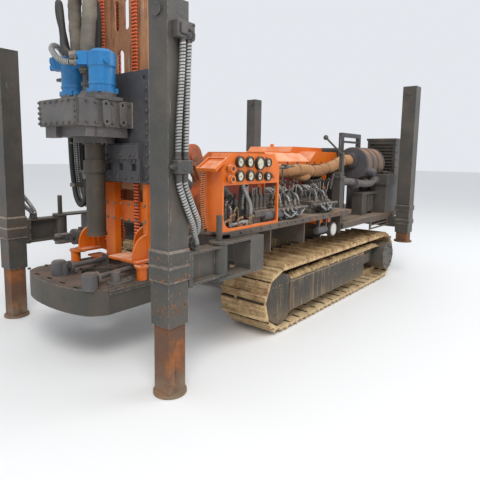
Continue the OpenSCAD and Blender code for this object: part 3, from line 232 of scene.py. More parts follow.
def moved_place(tree, offset, stretch=(1.0, 1.0, 1.0)):
    """The piece's own coordinates, moved by an offset and stretched along its axes."""
    place = tree.nodes.new("ShaderNodeTexCoord").outputs["Object"]
    moved = add(tree, "ShaderNodeVectorMath", {"operation": "ADD"}, i0=place, i1=offset)
    node = add(tree, "ShaderNodeVectorMath", {"operation": "MULTIPLY"}, i0=moved.outputs[0], i1=stretch)
    return node.outputs[0]


def colour(r, g, b):
    """An opaque colour from sRGB values of 0 to 255."""
    def linear(c):
        c = c / 255.0
        return c / 12.92 if c <= 0.04045 else ((c + 0.055) / 1.055) ** 2.4
    return (linear(r), linear(g), linear(b), 1.0)


# %% [markdown]
# Rust grows in patches: a large cloud says where, and a fine one breaks up its border. A brown stain spreads
# round each patch, wider than the rust itself. Edges and corners turn pale where the surface turns, which
# a Bevel node measures: its rounded normal leaves the true one near an edge. The pale edge is partly paint
# chipped to bare metal and partly a painted highlight. Rain draws streaks, long in Z and thin across. Small
# chips are the tips of a fine cloud. Dust settles on what faces up, and mud stays low.

# %% Groups for rust, edges, streaks, chips and dust
RUST_BROWN, RUST_BRIGHT, RUST_DARK = colour(88, 54, 34), colour(170, 106, 58), colour(72, 50, 38)


def make_rust_group():
    group, ins, outs = new_group(
        "rust_patches",
        [("Scale", "float", 3.0), ("Amount", "float", 0.4), ("Offset", "vector", (0, 0, 0))],
        [("Mask", "float"), ("Stain", "float"), ("Colour", "colour")])
    place = moved_place(group, ins.outputs["Offset"])
    wide = noise(group, place, ins.outputs["Scale"], 3.0, 0.6)
    fine_scale = times(group, ins.outputs["Scale"], 9.0)
    fine = noise(group, place, fine_scale, 6.0, 0.7)
    mixed = plus(group, times(group, wide, 0.72), times(group, fine, 0.28))
    level = minus(group, 0.78, times(group, ins.outputs["Amount"], 0.56))
    group.links.new(ramp(group, mixed, level, plus(group, level, 0.07)), outs.inputs["Mask"])
    halo = ramp(group, mixed, minus(group, level, 0.12), plus(group, level, 0.03))
    group.links.new(halo, outs.inputs["Stain"])
    tone = mix(group, fine, RUST_BROWN, RUST_BRIGHT)
    group.links.new(mix(group, ramp(group, wide, 0.35, 0.7), RUST_DARK, tone), outs.inputs["Colour"])
    return group


def make_edge_group():
    group, ins, outs = new_group(
        "edge_wear_and_highlight", [("Width", "float", 0.006), ("Amount", "float", 0.6)],
        [("Mask", "float"), ("Near", "float")])
    bevel = add(group, "ShaderNodeBevel", {"samples": 4}, Radius=ins.outputs["Width"])
    true = group.nodes.new("ShaderNodeNewGeometry").outputs["Normal"]
    dot = add(group, "ShaderNodeVectorMath", {"operation": "DOT_PRODUCT"}, i0=bevel.outputs[0], i1=true)
    leaving = minus(group, 1.0, dot.outputs["Value"])
    cloud = noise(group, moved_place(group, (3.1, 1.7, 0.4)), 28.0, 5.0, 0.7)
    edges_worn_and_lit = times(group, ramp(group, leaving, 0.03, 0.16), ramp(group, cloud, 0.38, 0.62))
    group.links.new(times(group, edges_worn_and_lit, ins.outputs["Amount"], True), outs.inputs["Mask"])
    near = times(group, ramp(group, leaving, 0.0, 0.05), ramp(group, cloud, 0.42, 0.55))
    group.links.new(near, outs.inputs["Near"])
    return group


def make_streak_group():
    group, ins, outs = new_group(
        "rain_streaks",
        [("Scale", "float", 22.0), ("Amount", "float", 0.5), ("Offset", "vector", (0, 0, 0))],
        [("Mask", "float")])
    drawn_out = moved_place(group, ins.outputs["Offset"], (1.0, 1.0, 0.06))
    thin = noise(group, drawn_out, ins.outputs["Scale"], 3.0, 0.6)
    cloud = noise(group, moved_place(group, (5.0, 2.0, 1.0)), 2.5, 2.0, 0.5)
    level = minus(group, 0.74, times(group, ins.outputs["Amount"], 0.3))
    mask = times(group, ramp(group, thin, level, plus(group, level, 0.12)),
                ramp(group, cloud, 0.35, 0.6))
    group.links.new(mask, outs.inputs["Mask"])
    return group


def make_chip_group():
    group, ins, outs = new_group(
        "paint_chips", [("Scale", "float", 60.0), ("Amount", "float", 0.4)], [("Mask", "float")])
    fine = noise(group, moved_place(group, (0.7, 3.3, 1.9)), ins.outputs["Scale"], 3.0, 0.75)
    cloud = noise(group, moved_place(group, (2.2, 0.5, 4.0)), 6.0, 3.0, 0.6)
    level = minus(group, 0.80, times(group, ins.outputs["Amount"], 0.22))
    mask = times(group, ramp(group, fine, level, plus(group, level, 0.03)),
                ramp(group, cloud, 0.42, 0.55))
    group.links.new(mask, outs.inputs["Mask"])
    return group


def make_dust_group():
    group, ins, outs = new_group(
        "settled_dust",
        [("Amount", "float", 0.5), ("Mud Top", "float", 0.5), ("Mud Amount", "float", 0.0)],
        [("Mask", "float")])
    coordinates = group.nodes.new("ShaderNodeTexCoord")
    up = add(group, "ShaderNodeSeparateXYZ", Vector=coordinates.outputs["Normal"]).outputs["Z"]
    height = add(group, "ShaderNodeSeparateXYZ", Vector=coordinates.outputs["Object"]).outputs["Z"]
    cloud = noise(group, moved_place(group, (1.3, 4.1, 2.2)), 7.0, 6.0, 0.7)
    flat = times(group, ramp(group, up, 0.45, 0.95), ramp(group, cloud, 0.25, 0.65))
    dust = times(group, flat, ins.outputs["Amount"])
    low = minus(group, 1.0, ramp(group, height, 0.0, ins.outputs["Mud Top"]))
    mud = times(group, times(group, low, ramp(group, cloud, 0.3, 0.55)),
               ins.outputs["Mud Amount"])
    group.links.new(calc(group, "MAXIMUM", dust, mud, True), outs.inputs["Mask"])
    return group


def make_relief_group():
    group, ins, outs = new_group(
        "cast_relief", [("Scale", "float", 60.0), ("Pits", "float", 0.5)], [("Height", "float")])
    place = moved_place(group, (0, 0, 0))
    grain = noise(group, place, ins.outputs["Scale"], 5.0, 0.65)
    pit_scale = times(group, ins.outputs["Scale"], 0.35)
    pits = ramp(group, noise(group, place, pit_scale, 3.0, 0.6), 0.52, 0.7)
    height = minus(group, grain, times(group, pits, ins.outputs["Pits"]))
    group.links.new(height, outs.inputs["Height"])
    return group


RUST, EDGES, STREAKS, CHIPS, DUST, RELIEF = (
    make_rust_group(), make_edge_group(), make_streak_group(), make_chip_group(), make_dust_group(),
    make_relief_group())
print("shader groups:", [g.name for g in bpy.data.node_groups])

# %% [markdown]
# One function builds a worn finish from these groups: paint with a second tone, a brown stain and rust in
# patches and along edges, pale edges that are partly chipped bare and partly a painted highlight, dark and
# pale streaks, chips, and dust on top. Each material of the machine is then a few values. Roughness follows
# the same masks, so rust is dull where paint still shines.

# %% Worn finish
STAIN_BROWN = colour(104, 74, 54)
DULL_ROUGHNESS = 0.92


def place_group(tree, group, **values):
    node = tree.nodes.new("ShaderNodeGroup")
    node.node_tree = group
    for key, value in values.items():
        node.inputs[key.replace("_", " ")].default_value = value
    return node


def worn_finish(name, base, second, rust=0.3, rust_scale=3.0, stain=0.5, edge=0.6, edge_width=0.006,
                edge_colour=(150, 122, 98), seam_rust=0.5, streaks=0.3, streak_colour=(60, 46, 38),
                pale=0.0, pale_colour=(160, 152, 140), chips=0.2, chip_colour=(140, 132, 122),
                dust=0.35, dust_colour=(150, 134, 112), mud=0.0, mud_top=0.5, shine=0.45, metal=0.0,
                tone_scale=4.0, relief=0.003, relief_scale=60.0, pits=0.4):
    """A material from plain values: amounts are 0 to 1, scales and widths in metres, colours sRGB."""
    base, second, edge_colour, streak_colour, pale_colour, chip_colour, dust_colour = (
        colour(*shade) for shade in
        (base, second, edge_colour, streak_colour, pale_colour, chip_colour, dust_colour))
    material = bpy.data.materials.new(name)
    material.use_nodes = True
    tree = material.node_tree
    shader = tree.nodes["Principled BSDF"]
    tones = noise(tree, moved_place(tree, (0, 0, 0)), tone_scale, 6.0, 0.62)
    tint = mix(tree, ramp(tree, tones, 0.32, 0.70), base, second)
    rusty = place_group(tree, RUST, Scale=rust_scale, Amount=rust)
    edges_worn_and_lit = place_group(tree, EDGES, Width=edge_width, Amount=edge)
    tint = mix(tree, times(tree, rusty.outputs["Stain"], stain), tint, STAIN_BROWN)
    tint = mix(tree, times(tree, edges_worn_and_lit.outputs["Near"], seam_rust), tint, rusty.outputs["Colour"])
    tint = mix(tree, rusty.outputs["Mask"], tint, rusty.outputs["Colour"])
    tint = mix(tree, place_group(tree, STREAKS, Amount=streaks).outputs["Mask"], tint, streak_colour)
    if pale:
        drip = place_group(tree, STREAKS, Amount=pale, Scale=34.0, Offset=(7.0, 3.0, 2.0)).outputs["Mask"]
        tint = mix(tree, drip, tint, pale_colour)
    tint = mix(tree, place_group(tree, CHIPS, Amount=chips).outputs["Mask"], tint, chip_colour)
    # pale edges: paint chipped to bare metal, and a painted highlight along the edges
    tint = mix(tree, edges_worn_and_lit.outputs["Mask"], tint, edge_colour)
    dusty = place_group(tree, DUST, Amount=dust, Mud_Top=mud_top, Mud_Amount=mud).outputs["Mask"]
    tint = mix(tree, dusty, tint, dust_colour)
    tree.links.new(tint, shader.inputs["Base Color"])
    dull = calc(tree, "MAXIMUM", rusty.outputs["Mask"], dusty)
    rough = add(tree, "ShaderNodeMapRange", Value=dull, To_Min=shine, To_Max=DULL_ROUGHNESS)
    tree.links.new(rough.outputs["Result"], shader.inputs["Roughness"])
    shader.inputs["Metallic"].default_value = metal
    height = place_group(tree, RELIEF, Scale=relief_scale, Pits=pits).outputs["Height"]
    lifted = plus(tree, height, times(tree, rusty.outputs["Mask"], 0.6))
    bump = add(tree, "ShaderNodeBump", Height=lifted, Distance=relief, Strength=0.6)
    tree.links.new(bump.outputs["Normal"], shader.inputs["Normal"])
    return material


# %% [markdown]
# The finishes of the machine. The frame and legs are a dark grey paint with rust at their seams, the mast and
# the tracks are sandy and rusty, the head is sooty grey with blue motors, and the hood, the cabinet and the
# foot frame are orange. Values are plain colours, with some wear on each. What a row leaves out keeps
# the worn finish's own value.

# %% The machine's finishes
FINISHES = {
    "frame_paint": dict(
        base=(62, 62, 58), second=(82, 76, 70), rust=0.22, rust_scale=2.6, stain=0.45, edge=0.9,
        edge_width=0.005, edge_colour=(158, 150, 138), seam_rust=0.6, streaks=0.45,
        streak_colour=(98, 72, 52), pale=0.22, chips=0.55, chip_colour=(128, 92, 64), dust=0.45,
        dust_colour=(128, 116, 100), mud=0.6, mud_top=0.45, shine=0.48),
    "track_steel": dict(
        base=(204, 178, 134), second=(162, 130, 92), rust_scale=9.0, edge=0.8, edge_width=0.008,
        edge_colour=(170, 108, 62), streaks=0.2, chips=0.0, dust=0.5, dust_colour=(206, 184, 144), mud=0.5,
        mud_top=0.3, shine=0.8, relief=0.006, relief_scale=38.0, tone_scale=14.0),
    "rusty_steel": dict(
        base=(84, 66, 54), second=(106, 80, 62), rust=0.38, rust_scale=4.5, edge=0.5,
        edge_colour=(150, 122, 96), streaks=0.5, pale=0.2, chips=0.4, dust=0.5, mud=0.5, mud_top=0.25,
        shine=0.68),
    "orange_paint": dict(
        base=(222, 112, 22), second=(208, 96, 18), rust=0.12, rust_scale=5.0, stain=0.4, edge=0.4,
        edge_colour=(232, 152, 92), seam_rust=0.25, streaks=0.4, streak_colour=(150, 66, 22), chips=0.35,
        chip_colour=(112, 64, 40), dust=1.0, dust_colour=(240, 184, 150), shine=0.4, relief=0.0015),
    "mast_paint": dict(
        base=(176, 124, 84), second=(152, 108, 78), rust_scale=6.0, stain=0.4, edge=0.5,
        edge_colour=(190, 160, 128), streaks=0.75, streak_colour=(112, 76, 52), pale=0.5,
        pale_colour=(176, 160, 140), chips=0.7, chip_colour=(96, 70, 54), dust=0.3, shine=0.65,
        tone_scale=7.0),
    # the engine's red, darkened for dirt and as painted shade where it shows inside the console
    "engine_paint": dict(
        base=(122, 46, 32), second=(146, 60, 40), rust=0.25, edge=0.4, dust=0.4, shine=0.55),
    "lagging": dict(
        base=(176, 132, 90), second=(150, 102, 66), rust=0.16, rust_scale=5.0, stain=0.6, edge=0.0,
        seam_rust=0.0, streaks=0.4, streak_colour=(140, 92, 58), chips=0.0, dust_colour=(206, 166, 126),
        shine=0.9, relief=0.008),
    "gauge_face": dict(
        base=(36, 36, 36), second=(50, 48, 46), rust=0.05, edge=0.5, edge_colour=(120, 116, 108),
        seam_rust=0.1, dust=0.3, shine=0.3, relief=0.0005),
    "dial_white": dict(
        base=(214, 210, 190), second=(198, 190, 160), rust=0.06, rust_scale=9.0, edge=0.0, seam_rust=0.0,
        streaks=0.2, chips=0.0, dust=0.1, shine=0.25, relief=0.0002),
    "machine_grey": dict(
        base=(78, 76, 77), second=(98, 94, 90), rust=0.18, rust_scale=5.0, stain=0.4, edge=0.75,
        edge_colour=(152, 148, 142), seam_rust=0.4, streaks=0.4, streak_colour=(62, 56, 52), pale=0.2,
        chips=0.4, dust=0.5, dust_colour=(140, 120, 106), shine=0.5),
    "motor_blue": dict(
        base=(24, 106, 162), second=(40, 124, 182), rust=0.05, rust_scale=8.0, stain=0.2, edge=0.5,
        edge_colour=(104, 170, 214), seam_rust=0.15, streak_colour=(26, 70, 118),
        chip_colour=(140, 170, 190), dust=0.4, dust_colour=(110, 160, 196), shine=0.34, relief=0.0012),
    "hose_rubber": dict(
        base=(38, 37, 36), second=(54, 51, 48), rust=0.05, stain=0.3, edge=0.0, seam_rust=0.0,
        streak_colour=(84, 74, 64), chips=0.15, dust=0.32, dust_colour=(112, 102, 90), shine=0.62,
        relief=0.0015),
    "rod_chrome": dict(
        base=(196, 196, 196), second=(176, 176, 178), rust=0.05, edge=0.1, streaks=0.1, dust=0.1,
        shine=0.18, metal=1.0, relief=0.0003),
    "dark_plate": dict(
        base=(68, 68, 72), second=(82, 80, 82), rust=0.14, rust_scale=4.0, stain=0.4, edge=0.75,
        edge_colour=(142, 138, 134), seam_rust=0.35, streaks=0.4, pale=0.35, chips=0.6, shine=0.46),
    "table_top": dict(
        base=(60, 60, 54), second=(78, 70, 60), rust=0.2, rust_scale=4.0, edge=1.0,
        edge_colour=(176, 172, 160), chips=0.4, dust=0.95, dust_colour=(112, 92, 80), mud=0.4, shine=0.55),
    "horn_orange": dict(
        base=(196, 98, 52), second=(164, 84, 50), rust=0.36, rust_scale=4.0, stain=0.6,
        edge_colour=(214, 160, 124), streaks=0.6, streak_colour=(92, 56, 40), chips=0.4, dust=0.4,
        dust_colour=(208, 140, 100), shine=0.5),
    "drum_brown": dict(
        base=(112, 94, 82), second=(142, 116, 98), rust_scale=3.5, edge_colour=(170, 132, 98), streaks=0.5,
        streak_colour=(70, 50, 38), chips=0.4, dust=0.5, dust_colour=(204, 146, 114), shine=0.6),
    # the chain's orange paint, lightened as a painted highlight on the rollers
    "chain_salmon": dict(
        base=(214, 96, 52), second=(236, 122, 78), rust=0.14, rust_scale=12.0, stain=0.4, edge=0.5,
        edge_width=0.002, edge_colour=(242, 160, 124), seam_rust=0.2, streaks=0.2, chips=0.3,
        chip_colour=(110, 56, 38), dust=0.5, dust_colour=(236, 140, 100), shine=0.5, relief=0.001,
        relief_scale=160.0),
    "inner_leg": dict(
        base=(104, 66, 46), second=(84, 58, 44), rust=0.5, rust_scale=3.4, stain=0.6, edge=0.5,
        edge_colour=(150, 118, 92), streaks=0.5, chips=0.4, dust=0.3, mud=0.5, mud_top=0.25, shine=0.7),
    "deck_steel": dict(
        base=(70, 66, 60), second=(94, 82, 72), rust_scale=3.5, edge=0.55, edge_colour=(146, 130, 112),
        streaks=0.45, chips=0.4, dust=0.75, dust_colour=(150, 132, 112), shine=0.65),
    "spindle_steel": dict(
        base=(66, 60, 52), second=(84, 72, 60), rust=0.24, rust_scale=6.0, edge=0.5,
        edge_colour=(150, 132, 112), streak_colour=(112, 76, 52), chips=0.4, dust=0.2, shine=0.5,
        metal=0.25),
    "valve_grey": dict(
        base=(64, 60, 56), second=(92, 84, 76), rust=0.2, rust_scale=12.0, stain=0.4, edge=0.8,
        edge_width=0.003, edge_colour=(168, 158, 146), streaks=0.4, chips=0.4, dust=0.8,
        dust_colour=(146, 128, 108), shine=0.5),
    "knob_black": dict(
        base=(30, 28, 28), second=(48, 44, 42), rust=0.0, edge=0.5, edge_width=0.003,
        edge_colour=(140, 130, 120), seam_rust=0.0, dust=0.5, shine=0.35, relief=0.0002),
    "cover_steel": dict(
        base=(52, 49, 44), second=(66, 58, 48), rust=0.22, rust_scale=4.0, stain=0.6, edge=0.7,
        edge_colour=(150, 128, 96), streaks=0.7, streak_colour=(122, 102, 74), pale=0.4,
        pale_colour=(150, 130, 100), chips=0.5, chip_colour=(118, 84, 54), dust=0.4,
        dust_colour=(150, 128, 96), mud=0.6, mud_top=0.3, shine=0.62),
    # the chain's paint darkened as painted shade on the link plates, between the lit rollers
    "chain_plate_shade": dict(
        base=(112, 52, 34), second=(84, 44, 32), rust_scale=12.0, edge=0.3, edge_width=0.002, seam_rust=0.3,
        dust=0.2, shine=0.6, relief=0.001, relief_scale=160.0),
    "dark_fitting": dict(
        base=(58, 58, 58), second=(82, 78, 74), rust=0.22, rust_scale=16.0, stain=0.3, edge_width=0.003,
        edge_colour=(150, 144, 136), seam_rust=0.3, streaks=0.2, chips=0.3, dust=0.4, relief=0.0005),
    # dark brown strips in the gaps between track shoes: painted shade where the gaps lie in shadow
    "gap_shade_brown": dict(
        base=(74, 58, 40), second=(50, 40, 30), rust=0.0, edge=0.0, seam_rust=0.0, dust=0.0, shine=0.95,
        relief=0.004, relief_scale=70.0),
    "muddy_plate": dict(
        base=(112, 98, 70), second=(84, 72, 54), rust=0.2, rust_scale=4.0, stain=0.6, edge=0.3, streaks=0.8,
        streak_colour=(142, 124, 92), dust=0.4, shine=0.85, relief_scale=30.0),
    "rust_orange": dict(
        base=(142, 98, 58), second=(116, 76, 46), rust=0.0, stain=0.3, edge=0.0, seam_rust=0.0, dust=0.0,
        shine=0.9, relief=0.001, relief_scale=120.0),
    "guard_wire": dict(
        base=(150, 150, 148), second=(188, 188, 184), rust=0.1, rust_scale=12.0, edge=0.0, seam_rust=0.0,
        streaks=0.2, chips=0.3, chip_colour=(90, 82, 74), dust=0.3, shine=0.38, metal=0.55, relief=0.0003,
        relief_scale=200.0),
    "fitting_steel": dict(
        base=(104, 100, 96), second=(150, 144, 134), rust=0.28, rust_scale=14.0, edge_width=0.002,
        edge_colour=(196, 188, 174), seam_rust=0.2, streaks=0.2, chips=0.3, dust=0.5, shine=0.42, metal=0.5,
        relief=0.0005, relief_scale=180.0),
    "old_brass": dict(
        base=(112, 88, 62), second=(140, 112, 82), rust_scale=12.0, edge=0.5, edge_width=0.002,
        edge_colour=(220, 190, 150), streaks=0.2, dust=0.4, shine=0.42, metal=0.4, relief=0.0004,
        relief_scale=180.0),
    "dry_mud": dict(
        base=(188, 162, 118), second=(146, 118, 80), rust=0.2, rust_scale=10.0, stain=0.6, edge=0.0,
        seam_rust=0.0, streaks=0.0, chips=0.5, chip_colour=(104, 80, 54), dust=0.5,
        dust_colour=(208, 184, 142), shine=0.95, relief=0.012, relief_scale=48.0, tone_scale=22.0),
    "weld_steel": dict(
        base=(104, 96, 88), second=(142, 132, 120), rust=0.34, rust_scale=9.0, edge=0.0, seam_rust=0.0,
        streaks=0.2, chips=0.3, dust=0.5, shine=0.55, relief=0.001, relief_scale=150.0),
    "spring_tan": dict(
        base=(214, 120, 60), second=(226, 152, 92), rust=0.12, rust_scale=12.0, edge=0.0, seam_rust=0.0,
        streaks=0.1, dust=0.3, shine=0.5, relief=0.0004, relief_scale=160.0),
    "wrapped_cloth": dict(
        base=(98, 92, 84), second=(128, 120, 106), rust=0.12, rust_scale=6.0, edge=0.0, seam_rust=0.0,
        chips=0.1, dust=0.4, shine=0.85, relief=0.004, relief_scale=90.0),
    "lamp_white": dict(
        base=(206, 204, 196), second=(184, 180, 168), rust=0.08, edge=0.2, dust=0.3, shine=0.3,
        relief=0.0003),
}
MATERIALS = {name: worn_finish(name, **values) for name, values in FINISHES.items()}

# Solids whose finish differs from the plain one of their slot
OWN_FINISH = {
    "carriage": "dark_plate", "drill_table": "table_top", "air_cleaner": "drum_brown",
    "chain_wheels": "orange_paint", "side_tank": "orange_paint", "spindle": "spindle_steel",
    "mast_support": "horn_orange", "side_frames": "cover_steel", "deck": "deck_steel",
    "side_shelf": "deck_steel", "front_leg_right": "inner_leg", "front_leg_left": "inner_leg",
    "rear_leg_right": "inner_leg", "rear_leg_left": "inner_leg",
}
DRUM_X, DRUM_Z, DRUM_SHELL_R, DRUM_FRONT_Y = 0.700, 1.415, 0.1925, 1.222


def dress_frame():
    """Each solid of the frame takes the finish of its slot in the record, or its own."""
    slots = {row["node"]: row["material_slot"] for row in frame["record"]["subparts"]}
    for name, node in NODES.items():
        node.data.materials.clear()
        node.data.materials.append(MATERIALS[OWN_FINISH.get(name, slots[name])])
    # the drum's hoop, front face, bands and outlet are darker than its shell
    drum = NODES["air_cleaner"].data
    drum.materials.append(MATERIALS["dark_plate"])
    for face in drum.polygons:
        middle = face.center
        off_axis = math.hypot(middle.x - DRUM_X, middle.z - DRUM_Z)
        face.material_index = 1 if off_axis > DRUM_SHELL_R or middle.y < DRUM_FRONT_Y else 0


dress_frame()
print("solids dressed:", len(NODES))

# %% [markdown]
# Everything that is added is a mesh made from a few simple forms. A shape gathers the points and faces of one
# piece. Turned parts come from a profile, boxes from the hull of cut corners, and hoses, wires and welds are
# swept along a line. The line is a smooth curve through a few points, and the rings along it are carried on
# from one to the next without a twist.

# %% Helpers for shapes
RANDOM = random.Random(7)
SIDES = ((1, "right"), (-1, "left"))
RIGHT, REAR, FRONT, UP, DOWN = (1, 0, 0), (0, 1, 0), (0, -1, 0), (0, 0, 1), (0, 0, -1)
LEAST_R = 1e-4


class Shape:
    """Points and faces gathered for one piece."""

    def __init__(self):
        self.points = []
        self.faces = []

    def put(self, points, faces):
        first = len(self.points)
        self.points.extend(Vector(p) for p in points)
        self.faces.extend(tuple(first + i for i in face) for face in faces)


def square_pair(axis):
    """Two unit vectors square to an axis and to each other."""
    side = axis.cross(Vector((0, 0, 1)) if abs(axis.z) < 0.9 else Vector((0, 1, 0))).normalized()
    return side, axis.cross(side)


def rings(shape, loops):
    """Joins loops of points, each with the same count, by quads, and closes both ends."""
    count, last = len(loops[0]), len(loops) - 1
    faces = []
    for i in range(last):
        a, b = i * count, (i + 1) * count
        faces += [(a + k, a + (k + 1) % count, b + (k + 1) % count, b + k) for k in range(count)]
    faces += [tuple(range(count))[::-1], tuple(last * count + k for k in range(count))]
    shape.put([p for loop in loops for p in loop], faces)


def revolve(shape, at, axis, profile, sides, turn=0.0):
    """A turned part: profile rows are (radius, distance along the axis)."""
    at, axis = Vector(at), Vector(axis).normalized()
    a, b = square_pair(axis)
    angles = [turn + 2 * math.pi * k / sides for k in range(sides)]
    loops = [[at + axis * along + (a * math.cos(t) + b * math.sin(t)) * max(radius, LEAST_R)
              for t in angles] for radius, along in profile]
    rings(shape, loops)


def hull(shape, points):
    """The convex hull of a few points."""
    form = bmesh.new()
    for point in points:
        form.verts.new(point)
    bmesh.ops.convex_hull(form, input=form.verts)
    loose = [v for v in form.verts if not v.link_faces]
    bmesh.ops.delete(form, geom=loose, context="VERTS")
    form.verts.index_update()
    shape.put([v.co.copy() for v in form.verts], [[v.index for v in face.verts] for face in form.faces])
    form.free()


def block(shape, low, high, cut):
    """A box with its corners and edges cut a little."""
    points = []
    for corner in range(8):
        end = [high[i] if corner >> i & 1 else low[i] for i in range(3)]
        inner = [end[i] + (-cut if corner >> i & 1 else cut) for i in range(3)]
        for i in range(3):
            point = list(inner)
            point[i] = end[i]
            points.append(Vector(point))
    hull(shape, points)


def smooth_line(points, step):
    """A curve through the points, with a point about every step."""
    points = [Vector(p) for p in points]
    ends = [2 * points[0] - points[1]] + points + [2 * points[-1] - points[-2]]
    line = []
    for i in range(1, len(ends) - 2):
        p0, p1, p2, p3 = ends[i - 1:i + 3]
        count = max(1, round((p2 - p1).length / step))
        for k in range(count):
            t = k / count
            line.append(0.5 * (2 * p1 + (p2 - p0) * t + (2 * p0 - 5 * p1 + 4 * p2 - p3) * t ** 2
                               + (3 * p1 - p0 - 3 * p2 + p3) * t ** 3))
    return line + [points[-1]]


def frames_along(line):
    """For each point of a line, its direction and two vectors square to it that don't twist."""
    count = len(line)
    made = []
    side = None
    for i in range(count):
        ahead = (line[min(i + 1, count - 1)] - line[max(i - 1, 0)]).normalized()
        if side is None:
            side = square_pair(ahead)[0]
        side = (side - ahead * side.dot(ahead)).normalized()
        made.append((ahead, side, ahead.cross(side)))
    return made


def lengths_along(line):
    """Distance of each point of a line from its start."""
    made = [0.0]
    for a, b in zip(line, line[1:]):
        made.append(made[-1] + (b - a).length)
    return made


def tube(shape, line, radius, sides):
    """A tube along a line: radius is a number, or a function of the distance from its start."""
    loops = []
    for point, (_, a, b), distance in zip(line, frames_along(line), lengths_along(line)):
        r = radius(distance) if callable(radius) else radius
        loops.append([point + (a * math.cos(t) + b * math.sin(t)) * r
                      for t in (2 * math.pi * k / sides for k in range(sides))])
    rings(shape, loops)


def coil(shape, line, radius, pitch, width, thickness, start, end):
    """A flat band wound round a line, such as a hose's spiral guard, 12 rings a turn."""
    distances, frames = lengths_along(line), frames_along(line)
    count = max(2, int((end - start) / pitch * 12))
    corners = ((0, -width / 2), (thickness, -width / 2), (thickness, width / 2), (0, width / 2))
    loops = []
    for i in range(count + 1):
        s = start + (end - start) * i / count
        k = min(max(bisect.bisect_right(distances, s) - 1, 0), len(line) - 2)
        t = (s - distances[k]) / max(distances[k + 1] - distances[k], 1e-9)
        centre = line[k].lerp(line[k + 1], min(max(t, 0.0), 1.0))
        ahead, a, b = frames[k]
        turn = 2 * math.pi * s / pitch
        out = a * math.cos(turn) + b * math.sin(turn)
        loops.append([centre + out * (radius + dr) + ahead * dw for dr, dw in corners])
    rings(shape, loops)


def bolt(shape, at, axis, across, height):
    """A bolt's hexagon head, turned at random. Across is the width over the flats."""
    r = across / 2 / math.cos(math.pi / 6)
    profile = [(r, 0), (r, height * 0.8), (r * 0.86, height), (0, height)]
    revolve(shape, at, axis, profile, 6, RANDOM.uniform(0, 1))


def wire(shape, points, step, radius, sides):
    """A round bar bent through a few points."""
    tube(shape, smooth_line(points, step), radius, sides)


def weld(shape, line, radius, step):
    """A bead of weld along a line, uneven as welds are."""
    fine = smooth_line(line, step)
    swell = {i: RANDOM.uniform(0.7, 1.3) for i in range(len(fine) + 1)}
    tube(shape, fine, lambda s: radius * swell[min(int(s / step), len(fine))], 6)


def clod(shape, at, size, flat):
    """An uneven lump of mud or grease."""
    form = bmesh.new()
    bmesh.ops.create_icosphere(form, subdivisions=2, radius=1.0)
    shift = Vector(RANDOM.uniform(0, 50) for _ in range(3))
    stretch = Vector((RANDOM.uniform(0.7, 1.2), RANDOM.uniform(0.7, 1.2), flat * RANDOM.uniform(0.7, 1.2)))
    for v in form.verts:
        v.co = Vector(v.co * stretch) * size * (0.78 + 0.5 * field.noise(v.co * 1.6 + shift))
    turn = Matrix.Rotation(RANDOM.uniform(0, 6), 4, "Z")
    points = [Vector(at) + turn @ v.co for v in form.verts]
    shape.put(points, [[v.index for v in face.verts] for face in form.faces])
    form.free()


def make_piece(name, shape, material, body, replaces=(), sharp=35.0):
    """Makes the mesh of a shape, gives it its finish and lets it ride on a body of the frame."""
    mesh = bpy.data.meshes.new(name)
    mesh.from_pydata(shape.points, [], shape.faces)
    form = bmesh.new()
    form.from_mesh(mesh)
    bmesh.ops.recalc_face_normals(form, faces=form.faces)
    form.to_mesh(mesh)
    form.free()
    mesh.materials.append(MATERIALS[material])
    mesh.shade_smooth()
    mesh.set_sharp_from_angle(angle=math.radians(sharp))
    piece = bpy.data.objects.new(name, mesh)
    scene.collection.objects.link(piece)
    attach(piece, body)
    if replaces:
        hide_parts(*replaces)
    MADE[name] = sum(len(face) - 2 for face in shape.faces)


MADE = {}

# %% [markdown]
# The crawler's shoes are bolted to the chain from outside, four bolts each, and they carry the dry mud of the
# yard. The shoes themselves are in the frame. Their bolts and clods are placed by walking round the same loop
# of two straights and two half circles that the chain follows.

# %% Track bolts and mud
TRACK_X, SHOE_HALF = 0.81, 0.23
AXLE_Z, PIN_R, SHOES = 0.295, 0.217, 37
IDLER_Y, SPROCKET_Y = -0.755, 1.555
SHOE_FACE = 0.050
BOLT_X, BOLT_SHARES = 0.062, (0.39, 0.55)
RIB_SHARES = (0.225, 0.68)


def loop_point(s):
    """Point (y, z) at distance s along the loop of track pins."""
    run, bend = SPROCKET_Y - IDLER_Y, math.pi * PIN_R
    if s < run:
        return Vector((IDLER_Y + s, AXLE_Z + PIN_R))
    if s < run + bend:
        a = (s - run) / PIN_R
        return Vector((SPROCKET_Y + PIN_R * math.sin(a), AXLE_Z + PIN_R * math.cos(a)))
    if s < 2 * run + bend:
        return Vector((SPROCKET_Y - (s - run - bend), AXLE_Z - PIN_R))
    a = (s - 2 * run - bend) / PIN_R
    return Vector((IDLER_Y - PIN_R * math.sin(a), AXLE_Z - PIN_R * math.cos(a)))


def shoe_place(index, side):
    """Matrix of one shoe: X across the track, Y along the shoe and Z outward, from its first pin."""
    pitch = 2 * (SPROCKET_Y - IDLER_Y + math.pi * PIN_R) / SHOES
    a, b = loop_point(index * pitch), loop_point((index + 1) % SHOES * pitch)
    ahead = (b - a).normalized()
    columns = (Vector((1, 0, 0)), Vector((0, ahead.x, ahead.y)), Vector((0, -ahead.y, ahead.x)))
    place = Matrix(columns).transposed().to_4x4()
    return Matrix.Translation((side * TRACK_X, a.x, a.y)) @ place, (b - a).length


